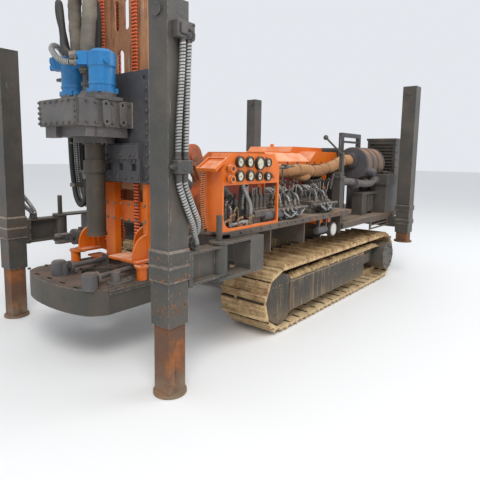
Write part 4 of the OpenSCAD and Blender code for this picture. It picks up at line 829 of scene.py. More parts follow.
def make_track_details(side, label):
    """Bolts, dark strips of painted shade in the gaps and dry clods, fewer where a shoe stands on the ground.
    """
    bolts, mud, gap_shade = Shape(), Shape(), Shape()
    for index in range(SHOES):
        place, length = shoe_place(index, side)
        outward = place.to_3x3() @ Vector((0, 0, 1))
        for dx in (-BOLT_X, BOLT_X):
            for share in BOLT_SHARES:
                bolt(bolts, place @ Vector((dx, share * length, SHOE_FACE)), outward, 0.024, 0.009)
        low = outward.z < -0.5
        # dark brown strips in the gap before the next shoe, in uneven stretches: painted shade for the
        # shadowed gap
        start = -SHOE_HALF + RANDOM.uniform(0.004, 0.06)
        while start < SHOE_HALF - 0.03:
            end = min(start + RANDOM.uniform(0.05, 0.20), SHOE_HALF - 0.006)
            depth = SHOE_FACE - RANDOM.uniform(0.008, 0.016)
            hull(gap_shade, [place @ Vector((x, share * length, z)) for x in (start, end)
                        for share in (0.90, 1.06) for z in (SHOE_FACE - 0.030, depth)])
            start = end + RANDOM.uniform(0.004, 0.06)
        for _ in range(5 if low else 13):
            x = RANDOM.uniform(-SHOE_HALF + 0.02, SHOE_HALF - 0.02)
            share = RANDOM.choice((0.10, 0.33, 0.45, 0.58, 0.80, 0.92)) + RANDOM.uniform(-0.04, 0.04)
            size = RANDOM.uniform(0.006, 0.012 if low else 0.019)
            clod(mud, place @ Vector((x, share * length, SHOE_FACE - 0.002)), size, 0.5)
        for share in RIB_SHARES:
            if RANDOM.random() < 0.5 and not low:
                x = RANDOM.uniform(-SHOE_HALF + 0.03, SHOE_HALF - 0.03)
                clod(mud, place @ Vector((x, (share + 0.07) * length, SHOE_FACE + 0.004)), 0.016, 0.7)
    make_piece("track_bolts_" + label, bolts, "track_steel", "root")
    make_piece("track_mud_" + label, mud, "dry_mud", "root")
    make_piece("track_gap_shade_" + label, gap_shade, "gap_shade_brown", "root")


for side, label in SIDES:
    make_track_details(side, label)
print("track details:", MADE)

# %% [markdown]
# Straw and dry soil have gathered on the side frames, under the upper run of the chain. The heap is a strip
# whose height follows a noise, with clods on it and thin blades of straw lying across.

# %% Heaps on the side frames
HEAP_Y, HEAP_X = (-0.60, 1.40), (0.935, 1.018)
HEAP_FOOT, HEAP_CREST = 0.4305, 0.505


def make_heap(side, label):
    """The strip of dry soil under the chain with its clods, and straw across it."""
    shape, straw = Shape(), Shape()
    count = 110
    loops = []
    for i in range(count + 1):
        y = HEAP_Y[0] + (HEAP_Y[1] - HEAP_Y[0]) * i / count
        ends = min(1.0, i / 6, (count - i) / 6)
        top = 0.434 + ends * (0.020 + 0.030 * (0.5 + field.noise(Vector((y * 9, side, 0)))))
        row = []
        for k in range(9):
            t = k / 8
            x = HEAP_X[0] + (HEAP_X[1] - HEAP_X[0]) * t
            bulge = math.sin(math.pi * min(0.94, 0.12 + 0.80 * t)) ** 0.6
            z = HEAP_FOOT + (top - HEAP_FOOT) * bulge + 0.005 * field.noise(Vector((x * 60, y * 60, 3)))
            row.append(Vector((side * x, y, min(max(z, HEAP_FOOT), HEAP_CREST))))
        row += [Vector((side * HEAP_X[1], y, 0.4302)), Vector((side * HEAP_X[0], y, 0.4302))]
        loops.append(row)
    rings(shape, loops)
    for _ in range(150):
        y = RANDOM.uniform(HEAP_Y[0] + 0.05, HEAP_Y[1] - 0.05)
        clod(shape, (side * RANDOM.uniform(0.955, 1.012), y, RANDOM.uniform(0.440, 0.468)),
             RANDOM.uniform(0.006, 0.017), 0.8)
    for _ in range(150):
        y = RANDOM.uniform(HEAP_Y[0] + 0.08, HEAP_Y[1] - 0.08)
        start = Vector((side * RANDOM.uniform(0.96, 1.02), y, RANDOM.uniform(0.452, 0.482)))
        turn = RANDOM.uniform(0, 2 * math.pi)
        length = RANDOM.uniform(0.03, 0.09)
        reach = Vector((0.25 * math.cos(turn), math.sin(turn), RANDOM.uniform(-0.35, 0.1))) * length
        middle = start + reach * 0.5 + Vector((0, 0, 0.006))
        wire(straw, [start, middle, start + reach], 0.02, 0.0011, 4)
    make_piece("side_frame_heap_" + label, shape, "dry_mud", "root")
    make_piece("side_frame_straw_" + label, straw, "dry_mud", "root")


for side, label in SIDES:
    make_heap(side, label)
print("triangles so far:", sum(MADE.values()))

# %% [markdown]
# The head is pulled up and down by two wide roller chains. On the real machine they run over a sprocket at
# the foot of the mast and another at its head. Each link here is three plates and one wide roller, repeated
# along a closed loop, and the sprockets get the teeth that the frame's plain wheels lack.

# %% Feed chains and their teeth
CHAIN_X, CHAIN_Y = 0.205, -1.5257
CHAIN_Z = (0.785, 5.490)
TEETH, LINKS = 19, 390
CHAIN_PITCH = 0.0254
PLATE_HALF, PLATE_X = 0.0075, 0.0200
ROLLER_R, ROLLER_HALF = 0.0095, 0.0270
ROOT_R, TIP_R = 0.0665, 0.0838


def chain_loop():
    """Pins (y, z) of one closed chain, front strand going up."""
    straight = CHAIN_Z[1] - CHAIN_Z[0]
    radius = CHAIN_PITCH / 2 / math.sin(math.pi / TEETH)
    total = 2 * straight + 2 * math.pi * radius
    pins = []
    for i in range(LINKS):
        s = total * i / LINKS
        if s < straight:
            pins.append(Vector((CHAIN_Y - radius, CHAIN_Z[0] + s)))
        elif s < straight + math.pi * radius:
            a = (s - straight) / radius
            pins.append(Vector((CHAIN_Y - radius * math.cos(a), CHAIN_Z[1] + radius * math.sin(a))))
        elif s < 2 * straight + math.pi * radius:
            pins.append(Vector((CHAIN_Y + radius, CHAIN_Z[1] - (s - straight - math.pi * radius))))
        else:
            a = (s - 2 * straight - math.pi * radius) / radius
            pins.append(Vector((CHAIN_Y + radius * math.cos(a), CHAIN_Z[0] - radius * math.sin(a))))
    return pins


def link_plate(shape, a, b, x, thick):
    """A chain plate round two pins: its sides are straight, its ends round."""
    ahead = (b - a).normalized()
    square = Vector((-ahead.y, ahead.x))
    outline = []
    for centre, start in ((b, -90), (a, 90)):
        for turn in (0, 45, 90, 135, 180):
            t = math.radians(start + turn)
            outline.append(centre + ahead * math.cos(t) * PLATE_HALF * 0.94
                           + square * math.sin(t) * PLATE_HALF)
    rings(shape, [[Vector((end, p.x, p.y)) for p in outline] for end in (x - thick / 2, x + thick / 2)])


def sprocket_ring(x, z, radius_cut, outline):
    """One loop of a sprocket's outline, at a place across it."""
    return [Vector((x, CHAIN_Y + (r - radius_cut) * math.cos(t), z + (r - radius_cut) * math.sin(t)))
            for r, t in outline]


def make_chains():
    chain, plates, teeth = Shape(), Shape(), Shape()
    pins = chain_loop()
    steps = [(k, 2 * math.pi * (k + 0.5) / (TEETH * 4)) for k in range(TEETH * 4)]
    outline = [(ROOT_R if k % 4 in (0, 3) else TIP_R, t) for k, t in steps]
    for side in (-1, 1):
        for i, a in enumerate(pins):
            b = pins[(i + 1) % LINKS]
            wide = 0.0030 if i % 2 else 0.0
            for x in (-PLATE_X, PLATE_X):
                link_plate(plates, a, b, side * CHAIN_X + x + math.copysign(wide, x), 0.0028)
            link_plate(plates, a, b, side * CHAIN_X, 0.0032)
            revolve(chain, (side * CHAIN_X - ROLLER_HALF, a.x, a.y), RIGHT,
                    [(ROLLER_R, 0), (ROLLER_R, 2 * ROLLER_HALF)], 8)
        for z in CHAIN_Z:
            for x in (-0.0150, 0.0035):
                rings(teeth, [sprocket_ring(side * CHAIN_X + x + dx, z, cut, outline)
                              for dx, cut in ((0, 0.003), (0.002, 0), (0.0095, 0), (0.0115, 0.003))])
    # the plates take the painted shade and the rollers the painted highlight, so the rollers read as bars
    make_piece("feed_chain_plates", plates, "chain_plate_shade", "mast")
    make_piece("feed_chain_links", chain, "chain_salmon", "mast", ["feed_chains"])
    make_piece("chain_wheel_teeth", teeth, "machine_grey", "mast")


make_chains()
print("chain triangles:", MADE["feed_chain_links"])

# %% [markdown]
# The exhaust pipe is wrapped in heat cloth, band over band. The swept tube gets a little step along a helix,
# where each turn of the band lies over the last one, and soft dents from a noise. Wire bands hold the wrap.

# %% Lagged exhaust
PIPE_ROUTES = (
    (0.056, ((0.345, 0.090, 1.330), (0.345, 0.020, 1.332), (0.372, -0.018, 1.334), (0.430, -0.042, 1.335))),
    (0.062, ((0.400, -0.034, 1.335), (0.490, -0.062, 1.335), (0.575, -0.050, 1.337), (0.630, 0.010, 1.345),
             (0.655, 0.110, 1.352), (0.660, 0.250, 1.345), (0.660, 0.400, 1.338), (0.662, 0.560, 1.350),
             (0.668, 0.730, 1.378), (0.678, 0.880, 1.418), (0.690, 0.990, 1.450), (0.690, 1.080, 1.458),
             (0.690, 1.1497, 1.458))),
    (0.044, ((0.560, 0.060, 1.300), (0.640, 0.120, 1.282), (0.668, 0.180, 1.280), (0.650, 0.260, 1.300))),
)


def wrapped_tube(shape, line, radius, band=0.058, sides=28, step=0.0045):
    """A tube with the steps of a wound band and soft dents."""
    loops = []
    for point, (_, a, b), s in zip(line, frames_along(line), lengths_along(line)):
        loop = []
        for k in range(sides):
            t = 2 * math.pi * k / sides
            out = a * math.cos(t) + b * math.sin(t)
            lap = (s / band + k / sides) % 1.0
            skin = point + out * radius
            dent = field.noise(skin * 14) * 0.006 + field.noise(skin * 45) * 0.002
            loop.append(point + out * (radius - 0.004 + step * lap ** 1.6 + dent))
        loops.append(loop)
    rings(shape, loops)


def make_lagging():
    """The wrapped pipes, wire bands on the thick ones, and the wrapped outlet at the engine."""
    shape, bands = Shape(), Shape()
    for radius, route in PIPE_ROUTES:
        line = smooth_line(route, 0.008)
        wrapped_tube(shape, line, radius)
        distances, frames = lengths_along(line), frames_along(line)
        at = 0.16
        while at < distances[-1] - 0.05 and radius > 0.05:
            k = bisect.bisect(distances, at)
            profile = [(radius + 0.001, -0.002), (radius + 0.0035, -0.001), (radius + 0.0035, 0.001),
                       (radius + 0.001, 0.002)]
            revolve(bands, line[k], frames[k][0], profile, 26)
            at += RANDOM.uniform(0.14, 0.24)
    block(shape, (0.2603, 0.020, 1.285), (0.400, 0.110, 1.372), 0.012)
    make_piece("exhaust_lagging", shape, "lagging", "root", ["exhaust_pipe"], 60.0)
    make_piece("lagging_wires", bands, "fitting_steel", "root")


make_lagging()

# %% [markdown]
# Pressure hoses are rubber tubes with a crimped sleeve and a hexagon nut at each end. Those that could chafe
# carry a wound steel guard, which is what gives the leg and valve hoses their ribbed, silvery look. A set
# gathers the hoses of one place, each made from its route, so that all their rubber is one piece, and so are
# their guards and their metal ends.

# %% Hoses


def hose_end(shape, at, ahead, radius):
    """Crimped sleeve and nut of a hose, from its end along the hose."""
    at, ahead = Vector(at), Vector(ahead).normalized()
    grooves = [(radius * 1.24 - (0.0012 if k % 2 else 0.0), 0.010 + 0.006 * k) for k in range(7)]
    revolve(shape, at, ahead, [(radius * 0.9, 0.008)] + grooves + [(radius * 1.02, 0.050)], 18)
    revolve(shape, at, ahead, [(radius * 1.36, 0.0), (radius * 1.44, 0.002), (radius * 1.44, 0.014),
                               (radius * 1.36, 0.016)], 6)


class HoseSet:
    """The rubber, the metal ends and the wound guards of some hoses."""

    def __init__(self):
        self.rubber, self.metal, self.guard = Shape(), Shape(), Shape()

    def add(self, route, radius, guarded=True, pitch=0.018, ends=(True, True), sides=14):
        """A hose through the points of its route, with its ends and, if wanted, its wound guard."""
        line = smooth_line(route, 0.010)
        inner = radius * (0.86 if guarded else 1.0)
        tube(self.rubber, line, inner, sides)
        length = lengths_along(line)[-1]
        if guarded:
            coil(self.guard, line, inner, pitch, pitch * 0.62, radius - inner, 0.045, length - 0.045)
        if ends[0]:
            hose_end(self.metal, line[0], line[1] - line[0], inner)
        if ends[1]:
            hose_end(self.metal, line[-1], line[-2] - line[-1], inner)

    def make_pieces(self, group, label, body, replaced, metal_finish="fitting_steel"):
        """The three pieces of the set: the rubber stands in place of the frame's hoses."""
        name = group + "_hose_"
        make_piece(name + "rubber" + label, self.rubber, "hose_rubber", body, [replaced])
        make_piece(name + "guards" + label, self.guard, "guard_wire", body)
        make_piece(name + "fittings" + label, self.metal, metal_finish, body)


LEG_X, LEG_Y, LEG_HALF = 1.030, -2.010, 0.080
LEG_FACE = LEG_X + LEG_HALF + 0.0003
LOCK_VALVE_Z, PORT_BLOCK_Z = (1.371, 1.449), (2.120, 2.215)
ARM_PORT_Y, ARM_TOP = -1.8177, 0.8783


def leg_routes():
    """Two upper and two lower hoses of the right front leg, with the lock valve between them."""
    x, (low, high), port = LEG_FACE + 0.024, LOCK_VALVE_Z, ARM_PORT_Y
    upper = [[(x, -2.004, 2.150), (x + .004, -2.004, 2.090), (x, -2.006, 1.960), (x - .002, -2.016, 1.800),
              (x - .002, -2.030, 1.600), (x - .002, -2.036, high)],
             [(x, -1.960, 2.150), (x + .006, -1.958, 2.090), (x, -1.958, 1.960), (x - .002, -1.962, 1.800),
              (x - .002, -1.970, 1.600), (x - .002, -1.976, high)]]
    lower = [[(x - .002, -2.030, low), (x - .002, -2.026, 1.310), (x, -2.000, 1.238), (x, -1.960, 1.150),
              (x - .012, -1.905, 1.060), (x - .040, -1.862, 0.985), (x - .066, port, 0.930),
              (x - .066, port, ARM_TOP)],
             [(x - .002, -1.984, low), (x - .002, -1.980, 1.310), (x, -1.948, 1.236), (x, -1.906, 1.150),
              (x - .016, -1.856, 1.075), (x - .060, -1.822, 1.000), (x - .126, port, 0.940),
              (x - .126, port, ARM_TOP)]]
    return upper + lower


def mirrored(points, side):
    return [(side * x, y, z) for x, y, z in points]


def side_block(shape, side, low, high, cut):
    """A block given for the right side, on either side."""
    x = sorted((side * low[0], side * high[0]))
    block(shape, (x[0], low[1], low[2]), (x[1], high[1], high[2]), cut)


def make_leg_hoses(side, label):
    """The hoses of one front leg, which ride on its arm."""
    hoses = HoseSet()
    metal = hoses.metal
    for route in leg_routes():
        hoses.add(mirrored(route, side), 0.0185, sides=12)
    out = (side, 0, 0)
    # lock valve in the middle, and the cylinder's port block with its elbow above
    for y0, y1, (z0, z1), deep in ((-2.062, -1.942, LOCK_VALVE_Z, 0.052),
                                   (-2.058, -1.925, PORT_BLOCK_Z, 0.048)):
        side_block(metal, side, (LEG_FACE, y0, z0), (LEG_FACE + deep, y1, z1), 0.004)
    side_block(metal, side, (LEG_FACE + 0.047, -2.040, 2.140), (LEG_FACE + 0.060, -1.990, 2.200), 0.003)
    revolve(metal, (side * (LEG_FACE + 0.026), -2.061, 1.412), FRONT,
            [(0.020, 0), (0.020, 0.010), (0.014, 0.012), (0.014, 0.026), (0.009, 0.028), (0.009, 0.036)], 6)
    for y, z in ((-1.952, 1.384), (-1.952, 1.436), (-2.008, 1.392), (-2.050, 1.436), (-1.936, 2.132),
                 (-1.936, 2.202), (-2.048, 2.132)):
        x = LEG_FACE + (0.052 if z < PORT_BLOCK_Z[0] else 0.048)
        bolt(metal, (side * x, y, z), out, 0.012, 0.006)
    for y in (-2.004, -1.960):
        nut = [(0.017, -0.004), (0.017, 0.012)]
        revolve(metal, (side * (LEG_FACE + 0.024), y, 2.150), DOWN, nut, 12)
    elbow = [(side * (LEG_FACE + 0.046), -1.978, 2.168), (side * (LEG_FACE + 0.066), -1.972, 2.166),
             (side * (LEG_FACE + 0.070), -1.958, 2.142), (side * (LEG_FACE + 0.052), -1.954, 2.112)]
    wire(metal, elbow, 0.006, 0.0085, 10)
    hoses.make_pieces("leg", "_" + label, "arm_" + label, "leg_hoses_" + label, "dark_fitting")


for side, label in SIDES:
    make_leg_hoses(side, label)
print("hoses of the legs:", MADE["leg_hose_guards_right"], "triangles a guard")

# %% [markdown]
# The valve banks are where the machine is controlled: a row of cast sections, each with its cap, its port
# nuts in front and a hand lever that leans a little its own way. The frame has the plain forms. This piece
# stands in their place, with rounded castings, nuts and thin levers with worn knobs.

# %% Valve banks
BANKS = ((0.760, -0.760, 7), (0.760, -0.120, 6))
SECTION, SECTION_MID, SECTION_DEEP = 0.062, 0.027, 0.170
SHELF_Z = 0.950
CAP_PROFILE = [(0.023, 0), (0.023, 0.012), (0.0185, 0.015), (0.0185, 0.030), (0.0205, 0.032),
               (0.0205, 0.046)]
NUT_PROFILE = [(0.019, 0), (0.0205, 0.002), (0.0205, 0.016), (0.019, 0.018)]


def make_valve_section(cast, steel, x, y):
    """One casting with its cap and cover, and the port in front with a hexagon nut and a stub."""
    z, mid, front = SHELF_Z, y + SECTION_MID, x + SECTION_DEEP
    block(cast, (x, y, z + 0.043), (front, y + SECTION - 0.008, z + 0.120), 0.007)
    block(cast, (x + 0.062, y + 0.006, z + 0.118), (x + 0.104, y + 0.048, z + 0.134), 0.004)
    revolve(cast, (x + 0.040, mid, z + 0.119), UP, CAP_PROFILE, 18)
    revolve(cast, (x + 0.125, mid, z + 0.119), UP, [(0.020, 0), (0.020, 0.018), (0.016, 0.026)], 18)
    revolve(steel, (x + 0.168, mid, z + 0.084), RIGHT,
            [(0.021, 0), (0.021, 0.010), (0.016, 0.011), (0.016, 0.020)], 16)
    revolve(steel, (x + 0.184, mid, z + 0.084), RIGHT, NUT_PROFILE, 6, RANDOM.uniform(0, 1))
    revolve(steel, (x + 0.200, mid, z + 0.084), RIGHT, [(0.012, 0), (0.012, 0.012), (0.008, 0.014)], 12)
    bolt(steel, (front, y + 0.010, z + 0.060), RIGHT, 0.011, 0.006)
    bolt(steel, (front, y + 0.044, z + 0.106), RIGHT, 0.011, 0.006)


def make_lever(steel, knob, x, y):
    """A hand lever in its block, leaning out over the front."""
    lean_x, lean_y = RANDOM.uniform(0.05, 0.26), RANDOM.uniform(-0.10, 0.10)
    length = RANDOM.uniform(0.150, 0.176)
    foot = Vector((x + 0.125, y + SECTION_MID, SHELF_Z + 0.138))
    top = foot + Vector((lean_x, lean_y, 1)).normalized() * length
    block(steel, foot - Vector((0.011, 0.009, 0.0)), foot + Vector((0.013, 0.009, 0.020)), 0.003)
    middle = foot.lerp(top, 0.5) + Vector((0.003, 0, 0))
    wire(steel, [foot + Vector((0, 0, 0.015)), middle, top], 0.03, 0.0052, 8)
    ahead = (top - foot).normalized()
    profile = [(0.007, 0), (0.0115, 0.007), (0.0125, 0.016), (0.0105, 0.026), (0.004, 0.031)]
    revolve(knob, top - ahead * 0.006, ahead, profile, 12)


def make_valve_banks():
    """Two banks on their bases with tie rods through them, and four tall spools in the cabinet."""
    cast, steel, knob = Shape(), Shape(), Shape()
    for x, y0, count in BANKS:
        y1 = y0 + count * SECTION
        low, high = (x + 0.010, y0 - 0.016, SHELF_Z + 0.0003), (x + 0.160, y1 + 0.010, SHELF_Z + 0.044)
        block(cast, low, high, 0.004)
        for i in range(count):
            make_valve_section(cast, steel, x, y0 + i * SECTION)
            make_lever(steel, knob, x, y0 + i * SECTION)
        for z in (0.064, 0.102):
            profile = [(0.005, 0), (0.005, y1 + 0.004 - y0)]
            revolve(steel, (x + 0.146, y0 - 0.008, SHELF_Z + z), REAR, profile, 8)
    # tall spools on their bar inside the cabinet
    block(cast, (0.880, -1.085, SHELF_Z + 0.060), (0.985, -0.870, SHELF_Z + 0.110), 0.005)
    block(cast, (0.900, -1.075, SHELF_Z + 0.0086), (0.960, -0.980, SHELF_Z + 0.061), 0.004)
    for i in range(4):
        y = -1.058 + i * 0.054
        profile = [(0.0215, 0), (0.0215, 0.014), (0.0175, 0.017), (0.0175, 0.070), (0.0195, 0.073),
                   (0.0195, 0.102), (0.015, 0.120)]
        revolve(cast, (0.930, y, SHELF_Z + 0.109), UP, profile, 16)
        profile = [(0.0115, 0), (0.0115, 0.012), (0.0075, 0.014), (0.0075, 0.046), (0.010, 0.048),
                   (0.010, 0.060)]
        revolve(steel, (0.930, y, SHELF_Z + 0.109 + 0.119), UP, profile, 6)
    make_piece("valve_castings", cast, "valve_grey", "root", ["valve_banks"])
    make_piece("valve_fittings", steel, "fitting_steel", "root")
    make_piece("valve_knobs", knob, "knob_black", "root")


make_valve_banks()
print("valve banks:", MADE["valve_castings"] + MADE["valve_fittings"], "triangles")

# %% [markdown]
# A hose leaves each section's cap, arches over to the inner side and goes down to the shelf, on the frame's
# own route. Added here are short loops from the ports in front, arches between the levers and three long
# lines behind the banks, so that the whole is a tangle of black rubber with glints of steel.

# %% Hoses of the valves


def valve_route(x, y, lean):
    """From a section's cap over to the inner side and down to the shelf."""
    z = SHELF_Z
    return [(x + .040, y, z + .1653), (x + .040, y, z + .190), (x + .028, y + lean / 4, z + .226),
            (x - .022, y + lean, z + .250 + lean / 3), (x - .074, y + lean, z + .222),
            (x - .100, y + lean, z + .140), (x - .100, y + lean, z + .0003)]


def front_loop(x, y, far, drop):
    """A short loop in front, from a port's nut to a port two or three sections on."""
    z = SHELF_Z
    return [(x + .212, y, z + .084), (x + .232, y + 0.004, z + .086),
            (x + .246, (y * 2 + far) / 3, z + .044 + drop),
            (x + .244, (y + far * 2) / 3, z + .024 + drop / 2),
            (x + .218, far, z + .022), (x + .170, far + 0.004, z + .020)]


def high_arch(x, y, rise, side):
    """A hose that rises over the caps between two levers."""
    z = SHELF_Z
    return [(x + .070, y, z + .130), (x + .074, y, z + .160), (x + .098, y + side / 2, z + rise),
            (x + .146, y + side, z + rise - 0.012), (x + .170, y + side, z + .140),
            (x + .176, y + side, z + .104)]


def make_valve_hoses():
    """The hoses of both banks, and three long pressure lines behind them, just above the shelf."""
    hoses = HoseSet()
    for x, y0, count in BANKS:
        for i in range(count):
            y = y0 + i * SECTION + SECTION_MID
            lean = 0.011 * math.cos(math.radians(67 * i))
            hoses.add(valve_route(x, y, lean), 0.015, i % 3 != 1, 0.014, sides=12)
            far = y + SECTION * (2 if i % 2 else 3) * (1 if i < count - 3 else -1) * 0.9
            loop = front_loop(x, y, far, RANDOM.uniform(0.000, 0.022))
            hoses.add(loop, 0.0115, i % 2 == 0, 0.012, (True, False), 10)
        for i in range(count - 1):
            arch = high_arch(x, y0 + i * SECTION + 0.056, RANDOM.uniform(0.185, 0.235),
                             RANDOM.uniform(-0.03, 0.05))
            hoses.add(arch, 0.0105, i % 2 == 1, 0.011, (True, True), 10)
    for k, radius in enumerate((0.013, 0.015, 0.012)):
        x, z = 0.715 - 0.030 * k, SHELF_Z + 0.022 + 0.012 * k
        line = [(x, -0.820 + 0.10 * n, z + 0.006 * math.sin(n * 1.7 + k)) for n in range(13)]
        hoses.add(line, radius, False, ends=(False, False), sides=10)
    hoses.make_pieces("valve", "", "root", "valve_hoses")


make_valve_hoses()
print("valve hoses:", MADE["valve_hose_rubber"] + MADE["valve_hose_guards"], "triangles")

# %% [markdown]
# Inside the open cabinet more hoses rise from its floor, bend over and drop again, with brass elbows in
# front. The four in front follow the frame's routes. Fifteen more behind them fill the cabinet's depth, as
# they do on the machine. A tan spring guards the hose that comes down from the tray.

# %% Hoses of the cabinet
CABINET_X, CABINET_FLOOR = 1.020, SHELF_Z + 0.0086


def make_tray_hose(rubber, spring):
    """The hose that comes down from the tray, in its spring."""
    x, y = CABINET_X, -1.553
    down = [(x - .144, -1.547, 1.381), (x - .146, -1.551, 1.340), (x - .152, y, 1.230), (x - .150, y, 1.120),
            (x - .134, y, 1.020), (x - .122, y, .980), (x - .122, y, SHELF_Z + 0.0003)]
    line = smooth_line(down, 0.010)
    tube(rubber, line, 0.0085, 10)
    coil(spring, line, 0.0105, 0.0150, 0.0062, 0.0055, 0.01, lengths_along(line)[-1] - 0.02)


def make_front_hoses(hoses):
    """The four hoses that show first: one from above, two bends, and one that lies on its two rests."""
    x, z = CABINET_X, SHELF_Z
    thick = [(x - .0083, -1.240, 1.330), (x - .038, -1.240, 1.330), (x - .055, -1.228, 1.275),
             (x - .052, -1.180, 1.190), (x - .055, -1.130, 1.110), (x - .060, -1.118, 1.030),
             (x - .060, -1.118, CABINET_FLOOR)]
    hoses.add(thick, 0.017, True, 0.016, (False, True))
    for y in (-1.340, -1.270):
        bend = [(x - .070, y, CABINET_FLOOR), (x - .070, y, 1.040), (x - .076, y + .004, 1.088),
                (x - .102, y + .008, 1.114), (x - .128, y + .012, 1.086), (x - .134, y + .014, 1.030),
                (x - .134, y + .014, CABINET_FLOOR)]
        hoses.add(bend, 0.013, y < -1.3, 0.013)
    low = [(x - .040, -1.410, z + .042), (x - .044, -1.340, z + .034), (x - .040, -1.260, z + .044),
           (x - .042, -1.180, z + .038)]
    hoses.add(low, 0.015, True, 0.014)
    for y in (-1.405, -1.215):
        block(hoses.metal, (x - .058, y, CABINET_FLOOR), (x - .022, y + .026, z + .044), 0.003)


def make_deep_hoses(hoses):
    """Hoses deeper inside, each an arch of its own."""
    for k in range(15):
        y = -1.475 + 0.041 * k + RANDOM.uniform(-0.008, 0.008)
        depth = CABINET_X - RANDOM.uniform(0.105, 0.150)
        high = RANDOM.uniform(1.150, 1.262)
        lean = RANDOM.uniform(-0.06, 0.06)
        end = min(max(y + lean, -1.48), -0.86)
        arch = [(depth, y, CABINET_FLOOR), (depth, y, 1.03), (depth + 0.008, y + lean * 0.3, high - 0.03),
                (depth + 0.020, y + lean * 0.6, high), (depth + 0.004, end, high - 0.05),
                (depth - 0.01, end, 1.08)]
        radius = RANDOM.uniform(0.010, 0.014)
        hoses.add(arch, radius, k % 3 == 0, 0.012, (False, True), 10)


def make_elbows(brass):
    """Four brass elbows on the floor in front, and a bare copper bend."""
    x, out = CABINET_X - .034, CABINET_X - .030
    for y, z in ((-1.452, 0.985), (-1.390, 1.020), (-1.300, 0.992), (-1.165, 0.990)):
        nut = [(0.012, 0), (0.014, 0.002), (0.014, 0.016), (0.010, 0.018), (0.010, 0.034)]
        revolve(brass, (x, y, z - 0.022), UP, nut, 6)
        bend = [(x, y, z + 0.008), (x, y, z + 0.022), (out, y + 0.014, z + 0.034),
                (out, y + 0.034, z + 0.036)]
        wire(brass, bend, 0.005, 0.0095, 10)
        nut = [(0.012, 0), (0.014, 0.002), (0.014, 0.014), (0.012, 0.016)]
        revolve(brass, (out, y + 0.030, z + 0.036), REAR, nut, 6)
    x = CABINET_X
    copper = [(x - .030, -1.360, 1.016), (x - .026, -1.352, 1.080), (x - .030, -1.322, 1.110),
              (x - .036, -1.300, 1.080), (x - .036, -1.296, 1.030)]
    wire(brass, copper, 0.008, 0.0065, 10)


def make_console_hoses():
    hoses, spring, brass = HoseSet(), Shape(), Shape()
    make_tray_hose(hoses.rubber, spring)
    make_front_hoses(hoses)
    make_deep_hoses(hoses)
    make_elbows(brass)
    hoses.make_pieces("cabinet", "", "root", "console_hoses")
    make_piece("tray_hose_spring", spring, "spring_tan", "root")
    make_piece("cabinet_elbows", brass, "old_brass", "root")


make_console_hoses()
print("cabinet hoses:", MADE["cabinet_hose_rubber"] + MADE["cabinet_hose_guards"], "triangles")

# %% [markdown]
# The head's hoses rise from the motors and the swivel, turn over to the far side and end on the carriage's
# shelf, and three more hang from that shelf in a loop. The thick one brings the flushing air and is wrapped
# in cloth tape. All of them move with the carriage.

# %% Hoses of the rotary head
SHELF_X, SHELF_TOP, SHELF_UNDER = -0.385, 2.0803, 2.0577
HEAD_TOP, CARRIAGE_FACE, SWIVEL_Y = 1.860, -1.675, -1.880
MOTOR_X, MOTOR_Y, MOTOR_FOOT = 0.180, -1.875, 1.9103
PORT_TURN, PORT_REACH, PORTS_UP = math.radians(219), 0.1763, (0.262, 0.212)


def make_air_hose(wrap, metal):
    """The thick air hose from the swivel, in tape, with a clamp near each end."""
    y = SWIVEL_Y
    air = [(0, y, 2.0606), (0, y, 2.130), (.010, y, 2.210), (.022, y, 2.320), (.018, y + .020, 2.480),
           (-.020, y + .050, 2.640), (-.090, y + .080, 2.740), (-.190, y + .105, 2.785),
           (-.290, y + .118, 2.745), (-.340, y + .124, 2.640), (-.350, y + .132, 2.480),
           (-.350, y + .140, 2.280), (-.350, y + .140, SHELF_TOP)]
    line = smooth_line(air, 0.010)
    wrapped_tube(wrap, line, 0.054, 0.085, 26, 0.003)
    for k in (3, -4):
        ahead = (line[k + 1] - line[k]).normalized()
        clamp = [(0.0545, -0.009), (0.0565, -0.007), (0.0565, 0.007), (0.0545, 0.009)]
        revolve(metal, line[k], ahead, clamp, 28)


def make_motor_hoses(hoses):
    """Two hoses from the right motor's ports over to the shelf, and one that rises behind the motors."""
    motor = Vector((MOTOR_X, MOTOR_Y, MOTOR_FOOT))
    port = Vector((math.cos(PORT_TURN), math.sin(PORT_TURN), 0))
    upper, lower = (motor + port * PORT_REACH + Vector((0, 0, up)) for up in PORTS_UP)
    hoses.add([
        upper, upper + port * 0.040, (-.060, -2.014, 2.212), (-.112, -1.995, 2.268), (-.165, -1.965, 2.335),
        (-.215, -1.945, 2.440), (-.262, -1.925, 2.545), (-.310, -1.905, 2.610), (-.366, -1.880, 2.618),
        (-.412, -1.850, 2.545), (-.455, -1.790, 2.420), (-.474, -1.740, 2.260), (-.474, -1.718, 2.140),
        (-.474, -1.718, SHELF_TOP)], 0.025, False, sides=18)
    hoses.add([
        lower, lower + port * 0.044, (-.070, -2.040, 2.140), (-.150, -2.034, 2.178), (-.230, -2.012, 2.222),
        (-.300, -1.985, 2.264), (-.350, -1.940, 2.300), (-.384, -1.890, 2.306), (-.416, -1.840, 2.284),
        (-.428, -1.802, 2.220), (-.425, -1.786, 2.140), (-.425, -1.786, SHELF_TOP)],
        0.022, True, 0.017, sides=18)
    y = CARRIAGE_FACE
    hoses.add([
        (-.052, y - .050, HEAD_TOP + .0003), (-.052, y - .050, 1.960), (-.054, y - .056, 2.100),
        (-.056, y - .066, 2.300), (-.054, y - .066, 2.490), (-.080, y - .062, 2.600),
        (-.140, y - .056, 2.668), (-.205, y - .050, 2.655), (-.250, y - .046, 2.570),
        (-.262, y - .040, 2.430), (-.262, y - .034, 2.250), (-.262, y - .034, SHELF_TOP)],
        0.026, False, sides=18)


